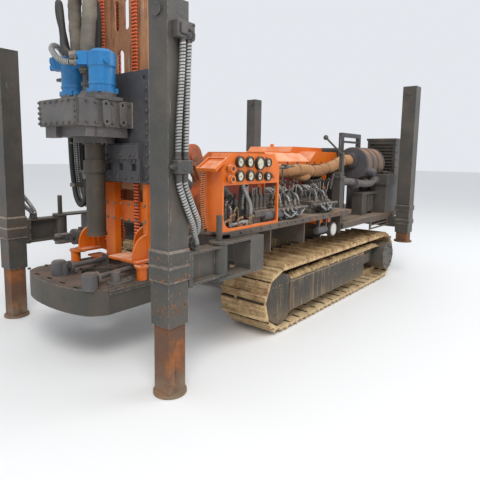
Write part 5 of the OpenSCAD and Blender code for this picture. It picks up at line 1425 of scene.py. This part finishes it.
def make_hanging_hoses(hoses):
    """Three hoses that hang from the shelf in a loop, and the clamp that holds them together."""
    x, face = SHELF_X, CARRIAGE_FACE
    for i in range(3):
        y = face - .036 - i * .048
        hoses.add([
            (x, y, SHELF_UNDER), (x, y, 1.960), (x + .004, y, 1.860), (x + .008, y, 1.650),
            (x + .020, y, 1.400), (x + .050, y, 1.200), (x + .080, y, 1.112), (x + .130, y, 1.066),
            (x + .182, y, 1.090), (x + .210, y, 1.165), (x + .215, y, 1.250), (x + .215, y, 1.3297)],
            0.021, i == 1)
    block(hoses.metal, (x + .022, face - .160, 1.208), (x + .076, face - .008, 1.240), 0.004)
    for y in (face - .150, face - .018):
        bolt(hoses.metal, (x + .076, y, 1.224), RIGHT, 0.014, 0.008)


def make_head_hoses():
    hoses, wrap = HoseSet(), Shape()
    make_air_hose(wrap, hoses.metal)
    make_motor_hoses(hoses)
    make_hanging_hoses(hoses)
    hoses.make_pieces("head", "", "carriage", "head_hoses")
    make_piece("air_hose_wrap", wrap, "wrapped_cloth", "carriage", sharp=60.0)


make_head_hoses()
print("triangles so far:", sum(MADE.values()))

# %% [markdown]
# The console's dials carry generic marks only: a ring of short ticks, a row of dark dots and a needle on each
# white face. Three small screws hold each bezel, and the round knobs stand on steel bosses.

# %% Dials
PANEL_X, PANEL_Y, PANEL_Z = 1.020, -1.515, 1.500
DIAL_FACE = PANEL_X + 0.0201
DIALS = ((.170, .062, .040), (.283, .062, .040), (.408, .072, .050), (.512, .066, .034),
         (.172, .162, .040), (.292, .162, .040), (.402, .168, .034), (.514, .172, .034))
KNOB_Y, KNOBS_Z = -1.460, (1.392, 1.320)
SWITCH_Y, SWITCH_Z = -0.915, 1.332


def dial_mark(shape, centre, radius, angle, long, wide, x0=DIAL_FACE, x1=DIAL_FACE + 0.0004):
    """A flat bar on a dial, pointing out from its centre."""
    ahead = Vector((0, math.sin(angle), math.cos(angle)))
    across = Vector((0, math.cos(angle), -math.sin(angle)))
    a, b = centre + ahead * (radius - long), centre + ahead * radius
    corners = [a - across * wide / 2, b - across * wide / 2, b + across * wide / 2, a + across * wide / 2]
    hull(shape, [Vector((x, p.y, p.z)) for x in (x0, x1) for p in corners])


def make_dial(marks, steel, hub, centre, radius):
    """Ticks, dots, needle, hub and screws of one dial."""
    inner = radius - 0.006
    for k in range(25):
        long, wide = (0.0085, 0.0016) if k % 4 == 0 else (0.005, 0.0009)
        dial_mark(marks, centre, inner - 0.002, math.radians(-135 + 270 * k / 24), long, wide)
    for k in range(12):
        dial_mark(marks, centre, inner - 0.013, math.radians(-135 + 270 * k / 24 + 5), 0.0012, 0.0028)
    needle = math.radians(RANDOM.uniform(-130, -60))
    dial_mark(marks, centre, inner - 0.008, needle, inner, 0.0022, DIAL_FACE + 0.002, DIAL_FACE + 0.003)
    revolve(hub, (DIAL_FACE, centre.y, centre.z), RIGHT, [(0.0045, 0), (0.0045, 0.006), (0.002, 0.007)], 12)
    for k in range(3):
        turn = math.radians(90 + 120 * k)
        at = centre + Vector((0, math.cos(turn), math.sin(turn))) * (radius + 0.0045)
        screw = [(0.0036, 0), (0.0036, 0.002), (0.002, 0.003)]
        revolve(steel, (PANEL_X + 0.0002, at.y, at.z), RIGHT, screw, 8)


def make_console_details():
    marks, steel, hub = Shape(), Shape(), Shape()
    for across, down, radius in DIALS:
        make_dial(marks, steel, hub, Vector((0, PANEL_Y + across, PANEL_Z - down)), radius)
    for y, z in ((KNOB_Y, KNOBS_Z[0]), (KNOB_Y, KNOBS_Z[1]), (SWITCH_Y, SWITCH_Z)):
        boss = [(0.019, 0), (0.019, 0.004), (0.010, 0.006), (0.010, 0.016)]
        revolve(steel, (PANEL_X + 0.0004, y, z), RIGHT, boss, 20)
    make_piece("dial_marks", marks, "knob_black", "root")
    make_piece("console_bolts", steel, "dark_fitting", "root")
    make_piece("dial_hubs", hub, "knob_black", "root")


make_console_details()
print("dial marks:", MADE["dial_marks"], "triangles")

# %% [markdown]
# A canister lies on the shelf in two straps. Under the shelf hang the work lamp with its white glass and a
# dark bottle in two straps, joined by the lamp's lead. A rod with its clamp leans on the levers.

# %% Small things at the shelf
SHELF_UNDERSIDE = 0.9497
CANISTER_X, CANISTER_Z = 0.950, 1.0085
LAMP_Y, LAMP_Z = 0.222, 0.770


def make_canister(dark, steel):
    profile = [(0.018, -0.016), (0.020, -0.004), (0.040, 0), (0.0485, 0.012), (0.0495, 0.050),
               (0.0495, 0.215), (0.0480, 0.250), (0.034, 0.262), (0.014, 0.265)]
    revolve(dark, (CANISTER_X, -0.956, CANISTER_Z), REAR, profile, 30)
    strap = [(0.0502, 0), (0.0515, 0.001), (0.0515, 0.019), (0.0502, 0.020)]
    for y in (-0.905, -0.745):
        revolve(steel, (CANISTER_X, y, CANISTER_Z), REAR, strap, 30)
        block(steel, (0.905, y, SHELF_Z + 0.0003), (0.995, y + 0.020, 0.972), 0.002)


def make_work_lamp(dark, steel, white, rubber):
    shade = [(0.030, -0.075), (0.056, -0.060), (0.066, -0.020), (0.070, 0.0), (0.070, 0.010), (0.062, 0.012)]
    revolve(dark, (0.982, LAMP_Y, LAMP_Z), RIGHT, shade, 28)
    glass = [(0.060, 0.004), (0.058, 0.012), (0.034, 0.018), (0.004, 0.020)]
    revolve(white, (0.984, LAMP_Y, LAMP_Z), RIGHT, glass, 28)
    block(dark, (0.930, 0.205, 0.830), (0.958, 0.239, SHELF_UNDERSIDE), 0.003)
    bottle = [(0.026, 0), (0.034, 0.004), (0.034, 0.170), (0.028, 0.186), (0.012, 0.190)]
    revolve(dark, (0.980, -0.110, 0.790), REAR, bottle, 20)
    for y in (-0.085, 0.050):
        block(steel, (0.962, y, 0.820), (0.998, y + 0.018, SHELF_UNDERSIDE), 0.002)
    lead = [(0.930, 0.180, 0.775), (0.925, 0.140, 0.800), (0.945, 0.105, 0.792), (0.975, 0.078, 0.790)]
    wire(rubber, lead, 0.008, 0.006, 8)


def make_leaning_rod(steel):
    wire(steel, [(0.800, -0.484, 1.381), (0.800, -0.370, 1.390), (0.800, -0.250, 1.398)], 0.05, 0.009, 10)
    wire(steel, [(0.800, -0.440, 1.376), (0.800, -0.440, 1.300), (0.802, -0.440, 1.1503)], 0.05, 0.007, 8)
    block(steel, (0.784, -0.405, 1.372), (0.818, -0.372, 1.412), 0.003)


def make_small_things():
    steel, dark, white, rubber = Shape(), Shape(), Shape(), Shape()
    make_canister(dark, steel)
    make_work_lamp(dark, steel, white, rubber)
    make_leaning_rod(steel)
    make_piece("shelf_canister", dark, "dark_plate", "root")
    make_piece("shelf_straps", steel, "dark_fitting", "root")
    make_piece("lamp_glass", white, "lamp_white", "root")
    make_piece("lamp_lead", rubber, "hose_rubber", "root")


make_small_things()
print("small things:", MADE["shelf_canister"] + MADE["shelf_straps"], "triangles")

# %% [markdown]
# Bolts and welds give the big plates their scale. On the head, rows of hexagon bolts hold the carriage's
# edges, its slide plate and the gearbox's cover, and rings of them hold the two motors and the spindle's
# bearing.

# %% Bolts and welds of the head
SLIDE_FRONT, GEARBOX_FRONT, GEARBOX_HALF = -1.715, -2.129, 0.265


def bolts_at(shape, places, axis, across, height):
    for place in places:
        bolt(shape, place, axis, across, height)


def bolt_ring(shape, at, axis, radius, count, first, across, height):
    """Bolts on a level circle: first is the turn of the first one in degrees."""
    for k in range(count):
        turn = math.radians(first + 360 / count * k)
        place = (at[0] + radius * math.cos(turn), at[1] + radius * math.sin(turn), at[2])
        bolt(shape, place, axis, across, height)


def make_head_bolts():
    steel, welds = Shape(), Shape()
    edges = [(x, CARRIAGE_FACE, 1.31 + 0.08 * k) for x in (-0.425, 0.425) for k in range(9)]
    bolts_at(steel, edges, FRONT, 0.024, 0.014)
    slide = [(x + dx, y, z) for x in (0.018, 0.165, 0.312) for dx in (-0.022, 0.022)
             for y, z in ((SLIDE_FRONT - 0.012, 1.471), (SLIDE_FRONT, 1.430))]
    bolts_at(steel, slide, FRONT, 0.020, 0.012)
    bolts_at(steel, [(-0.045 + 0.068 * k, SLIDE_FRONT, 1.300) for k in range(7)], FRONT, 0.016, 0.009)
    cover = [(x, GEARBOX_FRONT, z) for x in (-0.235, -0.157, -0.079, 0.0, 0.079, 0.157, 0.235)
             for z in (1.690, 1.840)]
    cover += [(x, GEARBOX_FRONT, z) for z in (1.728, 1.765, 1.802) for x in (-0.235, 0.235)]
    bolts_at(steel, cover, FRONT, 0.020, 0.012)
    for side in (-1, 1):
        flank = [(side * GEARBOX_HALF, y, z) for y in (-2.060, -1.990, -1.855, -1.715)
                 for z in (1.696, 1.834)]
        bolts_at(steel, flank, (side, 0, 0), 0.018, 0.010)
        bolt_ring(steel, (side * MOTOR_X, MOTOR_Y, 1.910), UP, 0.094, 8, 22.5, 0.018, 0.012)
    bolt_ring(steel, (0, SWIVEL_Y, 1.560), DOWN, 0.128, 12, 15, 0.020, 0.012)
    for x in (-GEARBOX_HALF, GEARBOX_HALF):
        weld(welds, [(x, -1.680, 1.672), (x, -1.680, 1.858)], 0.007, 0.012)
    make_piece("head_bolts", steel, "dark_fitting", "carriage")
    make_piece("head_welds", welds, "weld_steel", "carriage")


make_head_bolts()
print("head bolts:", MADE["head_bolts"], "triangles")

# %% [markdown]
# On the body, bolts run along the hood's sides, round the frames of the radiator and the oil cooler and along
# the shelf's edge. The fuel tank gets its filler cap.

# %% Bolts and welds of the body
HOOD_HALF, HOOD_SEAM_Y = 0.500, 0.567


def make_body_bolts():
    steel, welds = Shape(), Shape()
    for side in (-1, 1):
        along = [(side * HOOD_HALF, y, 1.424) for y in (-0.10, 0.10, 0.30, 0.50, 0.66, 0.82, 0.98, 1.14)]
        bolts_at(steel, along, (side, 0, 0), 0.018, 0.010)
        weld(welds, [(side * HOOD_HALF, HOOD_SEAM_Y, z) for z in (1.380, 1.440)], 0.004, 0.010)
    for k in range(8):
        for side in (-1, 1):
            for y, way in ((1.620, 1), (1.400, -1)):
                bolt(steel, (side * 0.410, y, 0.90 + 0.085 * k), (0, way, 0), 0.016, 0.009)
    cooler = [(0.975, y, 0.90 + 0.095 * k) for k in range(9) for y in (1.925, 2.185)]
    shelf_edge = [(1.030, -1.44 + 0.125 * k, 0.932) for k in range(16)]
    bolts_at(steel, cooler + shelf_edge, RIGHT, 0.016, 0.009)
    cap = [(0.040, 0), (0.040, 0.012), (0.046, 0.014), (0.046, 0.030), (0.020, 0.036)]
    revolve(steel, (0.925, 1.700, 1.2903), UP, cap, 20)
    make_piece("body_bolts", steel, "dark_fitting", "root")
    make_piece("body_welds", welds, "weld_steel", "root")


make_body_bolts()
print("body bolts:", MADE["body_bolts"], "triangles")

# %% [markdown]
# The covers of the side frames are single plates with pale welded seams between them and specks of mud near
# their upper edge. The specks keep off the hole in which the idler turns.

# %% Covers of the side frames
COVER_EDGES, COVER_Z = (-0.620, -0.460, -0.110, 0.320, 0.850, 0.940), (0.165, 0.412)
SEAM_X, IDLER_HOLE_R = 1.0235, 0.19


def make_cover_plates(side, label):
    plate, welds, mud = Shape(), Shape(), Shape()
    low, high = COVER_Z
    for a, b in zip(COVER_EDGES, COVER_EDGES[1:]):
        side_block(plate, side, (1.0223, a + 0.003, low), (1.031, b - 0.003, high), 0.003)
    for y in COVER_EDGES[1:-1]:
        weld(welds, [(side * SEAM_X, y, low), (side * SEAM_X, y, high)], 0.0055, 0.010)
    for z in (low - 0.002, high + 0.002):
        weld(welds, [(side * SEAM_X, COVER_EDGES[0], z), (side * SEAM_X, COVER_EDGES[-1], z)], 0.0045, 0.012)
    for _ in range(90):
        y, z = RANDOM.uniform(-0.93, 0.93), high - 0.20 * RANDOM.random() ** 4
        on_plate = y > COVER_EDGES[0]
        if not on_plate and (y - IDLER_Y) ** 2 + (z - AXLE_Z) ** 2 > IDLER_HOLE_R ** 2:
            continue
        at = (side * (1.032 if on_plate else 1.023), y, z)
        clod(mud, at, RANDOM.uniform(0.0012, 0.003), 3.4)
    make_piece("cover_plates_" + label, plate, "cover_steel", "root")
    make_piece("cover_welds_" + label, welds, "weld_steel", "root")
    make_piece("cover_mud_" + label, mud, "dry_mud", "root")


for side, label in SIDES:
    make_cover_plates(side, label)
print("mud on a cover:", MADE["cover_mud_right"], "triangles")

# %% [markdown]
# The two round knobs on the panel have orange caps with small ribs round them, and so has the switch at the
# other end of the panel, without the ribs. Behind the track a muddy plate with a few creases closes the body.

# %% Knob caps and belly plate
CAP_R, CAP_RIBS = 0.0284, 14
BELLY_X, BELLY_ROWS = 0.400, (0.530, 0.600, 0.670, 0.740, 0.800)


def make_knob_caps():
    knob = Shape()
    cap = [(CAP_R, 0), (0.0286, 0.010), (0.0286, 0.026), (0.0266, 0.0318), (0.016, 0.0324), (0.014, 0.0306)]
    for z in KNOBS_Z:
        revolve(knob, (1.0387, KNOB_Y, z), RIGHT, cap, 28)
        for k in range(CAP_RIBS):
            turn = 2 * math.pi * k / CAP_RIBS
            at = (1.0490, KNOB_Y + CAP_R * math.cos(turn), z + CAP_R * math.sin(turn))
            revolve(knob, at, RIGHT, [(0.0022, 0), (0.0022, 0.018), (0.0010, 0.020)], 6)
    revolve(knob, (1.0204, SWITCH_Y, SWITCH_Z), RIGHT, [(0.0156, 0), (0.0156, 0.018), (0.012, 0.0204)], 20)
    make_piece("knob_caps", knob, "orange_paint", "root")


def make_belly_plate():
    plate, loops = Shape(), []
    for k in range(61):
        y = -0.720 + 0.048 * k
        creased = [(BELLY_X + 0.010 * field.noise(Vector((y * 3, z * 5, 2.0))), z) for z in BELLY_ROWS]
        loops.append([Vector((x, y, z)) for x, z in creased]
                     + [Vector((x - 0.006, y, z)) for x, z in creased[::-1]])
    rings(plate, loops)
    make_piece("belly_plate", plate, "muddy_plate", "root")


make_knob_caps()
make_belly_plate()
print("knob caps:", MADE["knob_caps"], "triangles")

# %% [markdown]
# Lumps of soil and blades of straw spill over the upper edge of the side frames' covers, more in some places
# than in others, as a noise along the track says.

# %% Soil on the covers


def make_soil_on_covers(side, label):
    heap = Shape()
    for _ in range(330):
        y = RANDOM.uniform(-0.62, 0.93)
        swell = 0.5 + 0.5 * field.noise(Vector((y * 2.4, side * 3.0, 1.0)))
        size = RANDOM.uniform(0.008, 0.016) + 0.012 * max(swell, 0)
        at = (side * RANDOM.uniform(0.955, 1.018), y, 0.430 + RANDOM.uniform(0, 0.036) * swell)
        clod(heap, at, size, 0.8)
    for _ in range(150):
        y, x = RANDOM.uniform(-0.6, 0.9), RANDOM.uniform(0.96, 1.02)
        start = Vector((side * x, y, 0.446 + RANDOM.uniform(0, 0.02)))
        end = start + Vector((side * RANDOM.uniform(-0.02, 0.012), RANDOM.uniform(-0.05, 0.05),
                              RANDOM.uniform(-0.02, 0.012)))
        tube(heap, [start, (start + end) / 2 + Vector((0, 0, 0.006)), end], 0.0013, 4)
    make_piece("cover_heap_" + label, heap, "dry_mud", "root")


for side, label in SIDES:
    make_soil_on_covers(side, label)
print("soil on a cover:", MADE["cover_heap_right"], "triangles")

# %% [markdown]
# Where the paint of the front legs is worn, rust has come off in flakes, mostly below the collars and a few
# on them. Ropes of weld metal run round the collars of all four legs, and bolts hold the arms' plates.

# %% Rust, welds and bolts of the legs
RUST_BANDS = ((0.745, 0.034, 0.0890, 260), (0.860, 0.036, 0.0890, 90), (0.550, 0.050, 0.0800, 420),
              (0.650, 0.060, 0.0800, 100))
REAR_LEG_X, REAR_LEG_Y = 1.185, 1.750


def flake(shape, at, out, size):
    """A thin uneven patch of rust that lies on a flat face."""
    a, b = square_pair(out)
    count = RANDOM.randint(5, 9)
    edge = []
    for k in range(count):
        turn = 2 * math.pi * (k + RANDOM.uniform(-0.3, 0.3)) / count
        reach = a * math.cos(turn) + b * math.sin(turn) * 1.5
        edge.append(Vector(at) + reach * size * RANDOM.uniform(0.45, 1.0))
    rings(shape, [[p - out * 0.0004 for p in edge], [p + out * 0.0005 for p in edge]])


def make_leg_rust(side, label):
    """Flakes in four bands: each band is (middle height, half height, half width of the tube, count)."""
    rust = Shape()
    x, y = side * LEG_X, LEG_Y
    for middle, tall, half, count in RUST_BANDS:
        for _ in range(count):
            z = RANDOM.gauss(middle, tall * 0.55)
            if abs(z - middle) > tall:
                continue
            along = RANDOM.uniform(-half + 0.008, half - 0.008)
            size = 0.0006 + 0.0075 * RANDOM.random() ** 7
            out_x, out_y = RANDOM.sample(((0, -1), (side, 0)), 1)[0]
            at = (x + out_x * half + out_y * along, y + out_y * half + out_x * along, z)
            flake(rust, at, Vector((out_x, out_y, 0)), size)
    make_piece("leg_rust_" + label, rust, "rust_orange", "arm_" + label)


def square_weld(shape, x, y, half, z, radius):
    """Four beads round a square at one height."""
    signs = ((-1, -1), (1, -1), (1, 1), (-1, 1), (-1, -1))
    corners = [(x + a * half, y + b * half, z) for a, b in signs]
    for start, end in zip(corners, corners[1:]):
        weld(shape, [start, end], radius, 0.012)


def make_leg_welds(side, label):
    welds, steel = Shape(), Shape()
    x = side * LEG_X
    for z in (0.812, 0.728, 0.822, 0.906):
        square_weld(welds, x, LEG_Y, 0.0845, z, 0.0062)
    square_weld(welds, x, LEG_Y, 0.082, 0.914, 0.006)
    # plate between the arm and the leg
    for dx in (-0.062, 0.062):
        for z in (0.690, 0.735, 0.806, 0.851):
            bolt(steel, (x + dx, -1.891, z), REAR, 0.020, 0.012)
            bolt(steel, (x + dx, -1.921, z), FRONT, 0.018, 0.006)
    make_piece("leg_welds_" + label, welds, "weld_steel", "arm_" + label)
    make_piece("arm_bolts_" + label, steel, "fitting_steel", "arm_" + label)


def make_rear_leg_welds():
    welds = Shape()
    for side in (-1, 1):
        for z in (0.912, 0.857, 0.740, 0.690):
            square_weld(welds, side * REAR_LEG_X, REAR_LEG_Y, 0.084, z, 0.006)
    make_piece("rear_leg_welds", welds, "weld_steel", "root")


for side, label in SIDES:
    make_leg_rust(side, label)
for side, label in SIDES:
    make_leg_welds(side, label)
make_rear_leg_welds()
print("rust flakes:", MADE["leg_rust_right"] + MADE["leg_rust_left"], "triangles")

# %% [markdown]
# Stitched welds run up the mast's channels, except where the carriage stands at rest. Grease with sand sits
# on the guides below the carriage's lowest place, so that nothing rubs it off. Bolts hold the foot's cross
# plate and the drill table.

# %% Welds, grease and bolts of the mast
SEAM_IN_X, CARRIAGE_SPAN = 0.252, (1.24, 2.12)
GREASE_X, GREASE_Z = 0.326, (0.75, 1.20)
TABLE_TOP, HOLE_Y = 0.5603, -1.830


def make_mast_details():
    steel, welds, grease = Shape(), Shape(), Shape()
    for side in (-1, 1):
        for k in range(34):
            z = 0.80 + 0.142 * k
            if not CARRIAGE_SPAN[0] < z < CARRIAGE_SPAN[1]:
                x = side * SEAM_IN_X
                weld(welds, [(x, -1.579, z), (x, -1.579, z + 0.050)], 0.004, 0.010)
        for _ in range(150):
            z = RANDOM.uniform(*GREASE_Z)
            size = RANDOM.uniform(0.004, 0.013)
            clod(grease, (side * (GREASE_X - RANDOM.uniform(0, 0.05)), -1.5805, z), size, 1.0)
    for k in range(6):
        for z in (1.090, 0.968):
            bolt(steel, (-0.125 + 0.095 * k, -1.640, z), FRONT, 0.020, 0.012)
    make_piece("mast_welds", welds, "weld_steel", "mast")
    make_piece("mast_grease", grease, "dry_mud", "mast")
    make_piece("foot_bolts", steel, "fitting_steel", "mast")


def make_table_bolts():
    steel = Shape()
    bolt_ring(steel, (0, HOLE_Y, TABLE_TOP), UP, 0.160, 8, 22.5, 0.026, 0.014)
    for side in (-1, 1):
        edge = [(side * 0.440, y, TABLE_TOP) for y in (-2.16, -2.02, -1.88, -1.74)]
        bolts_at(steel, edge, UP, 0.024, 0.014)
    make_piece("table_bolts", steel, "dark_fitting", "mast")


make_mast_details()
make_table_bolts()
print("all triangles:", sum(MADE.values()), "largest:", max(MADE.items(), key=lambda item: item[1]))
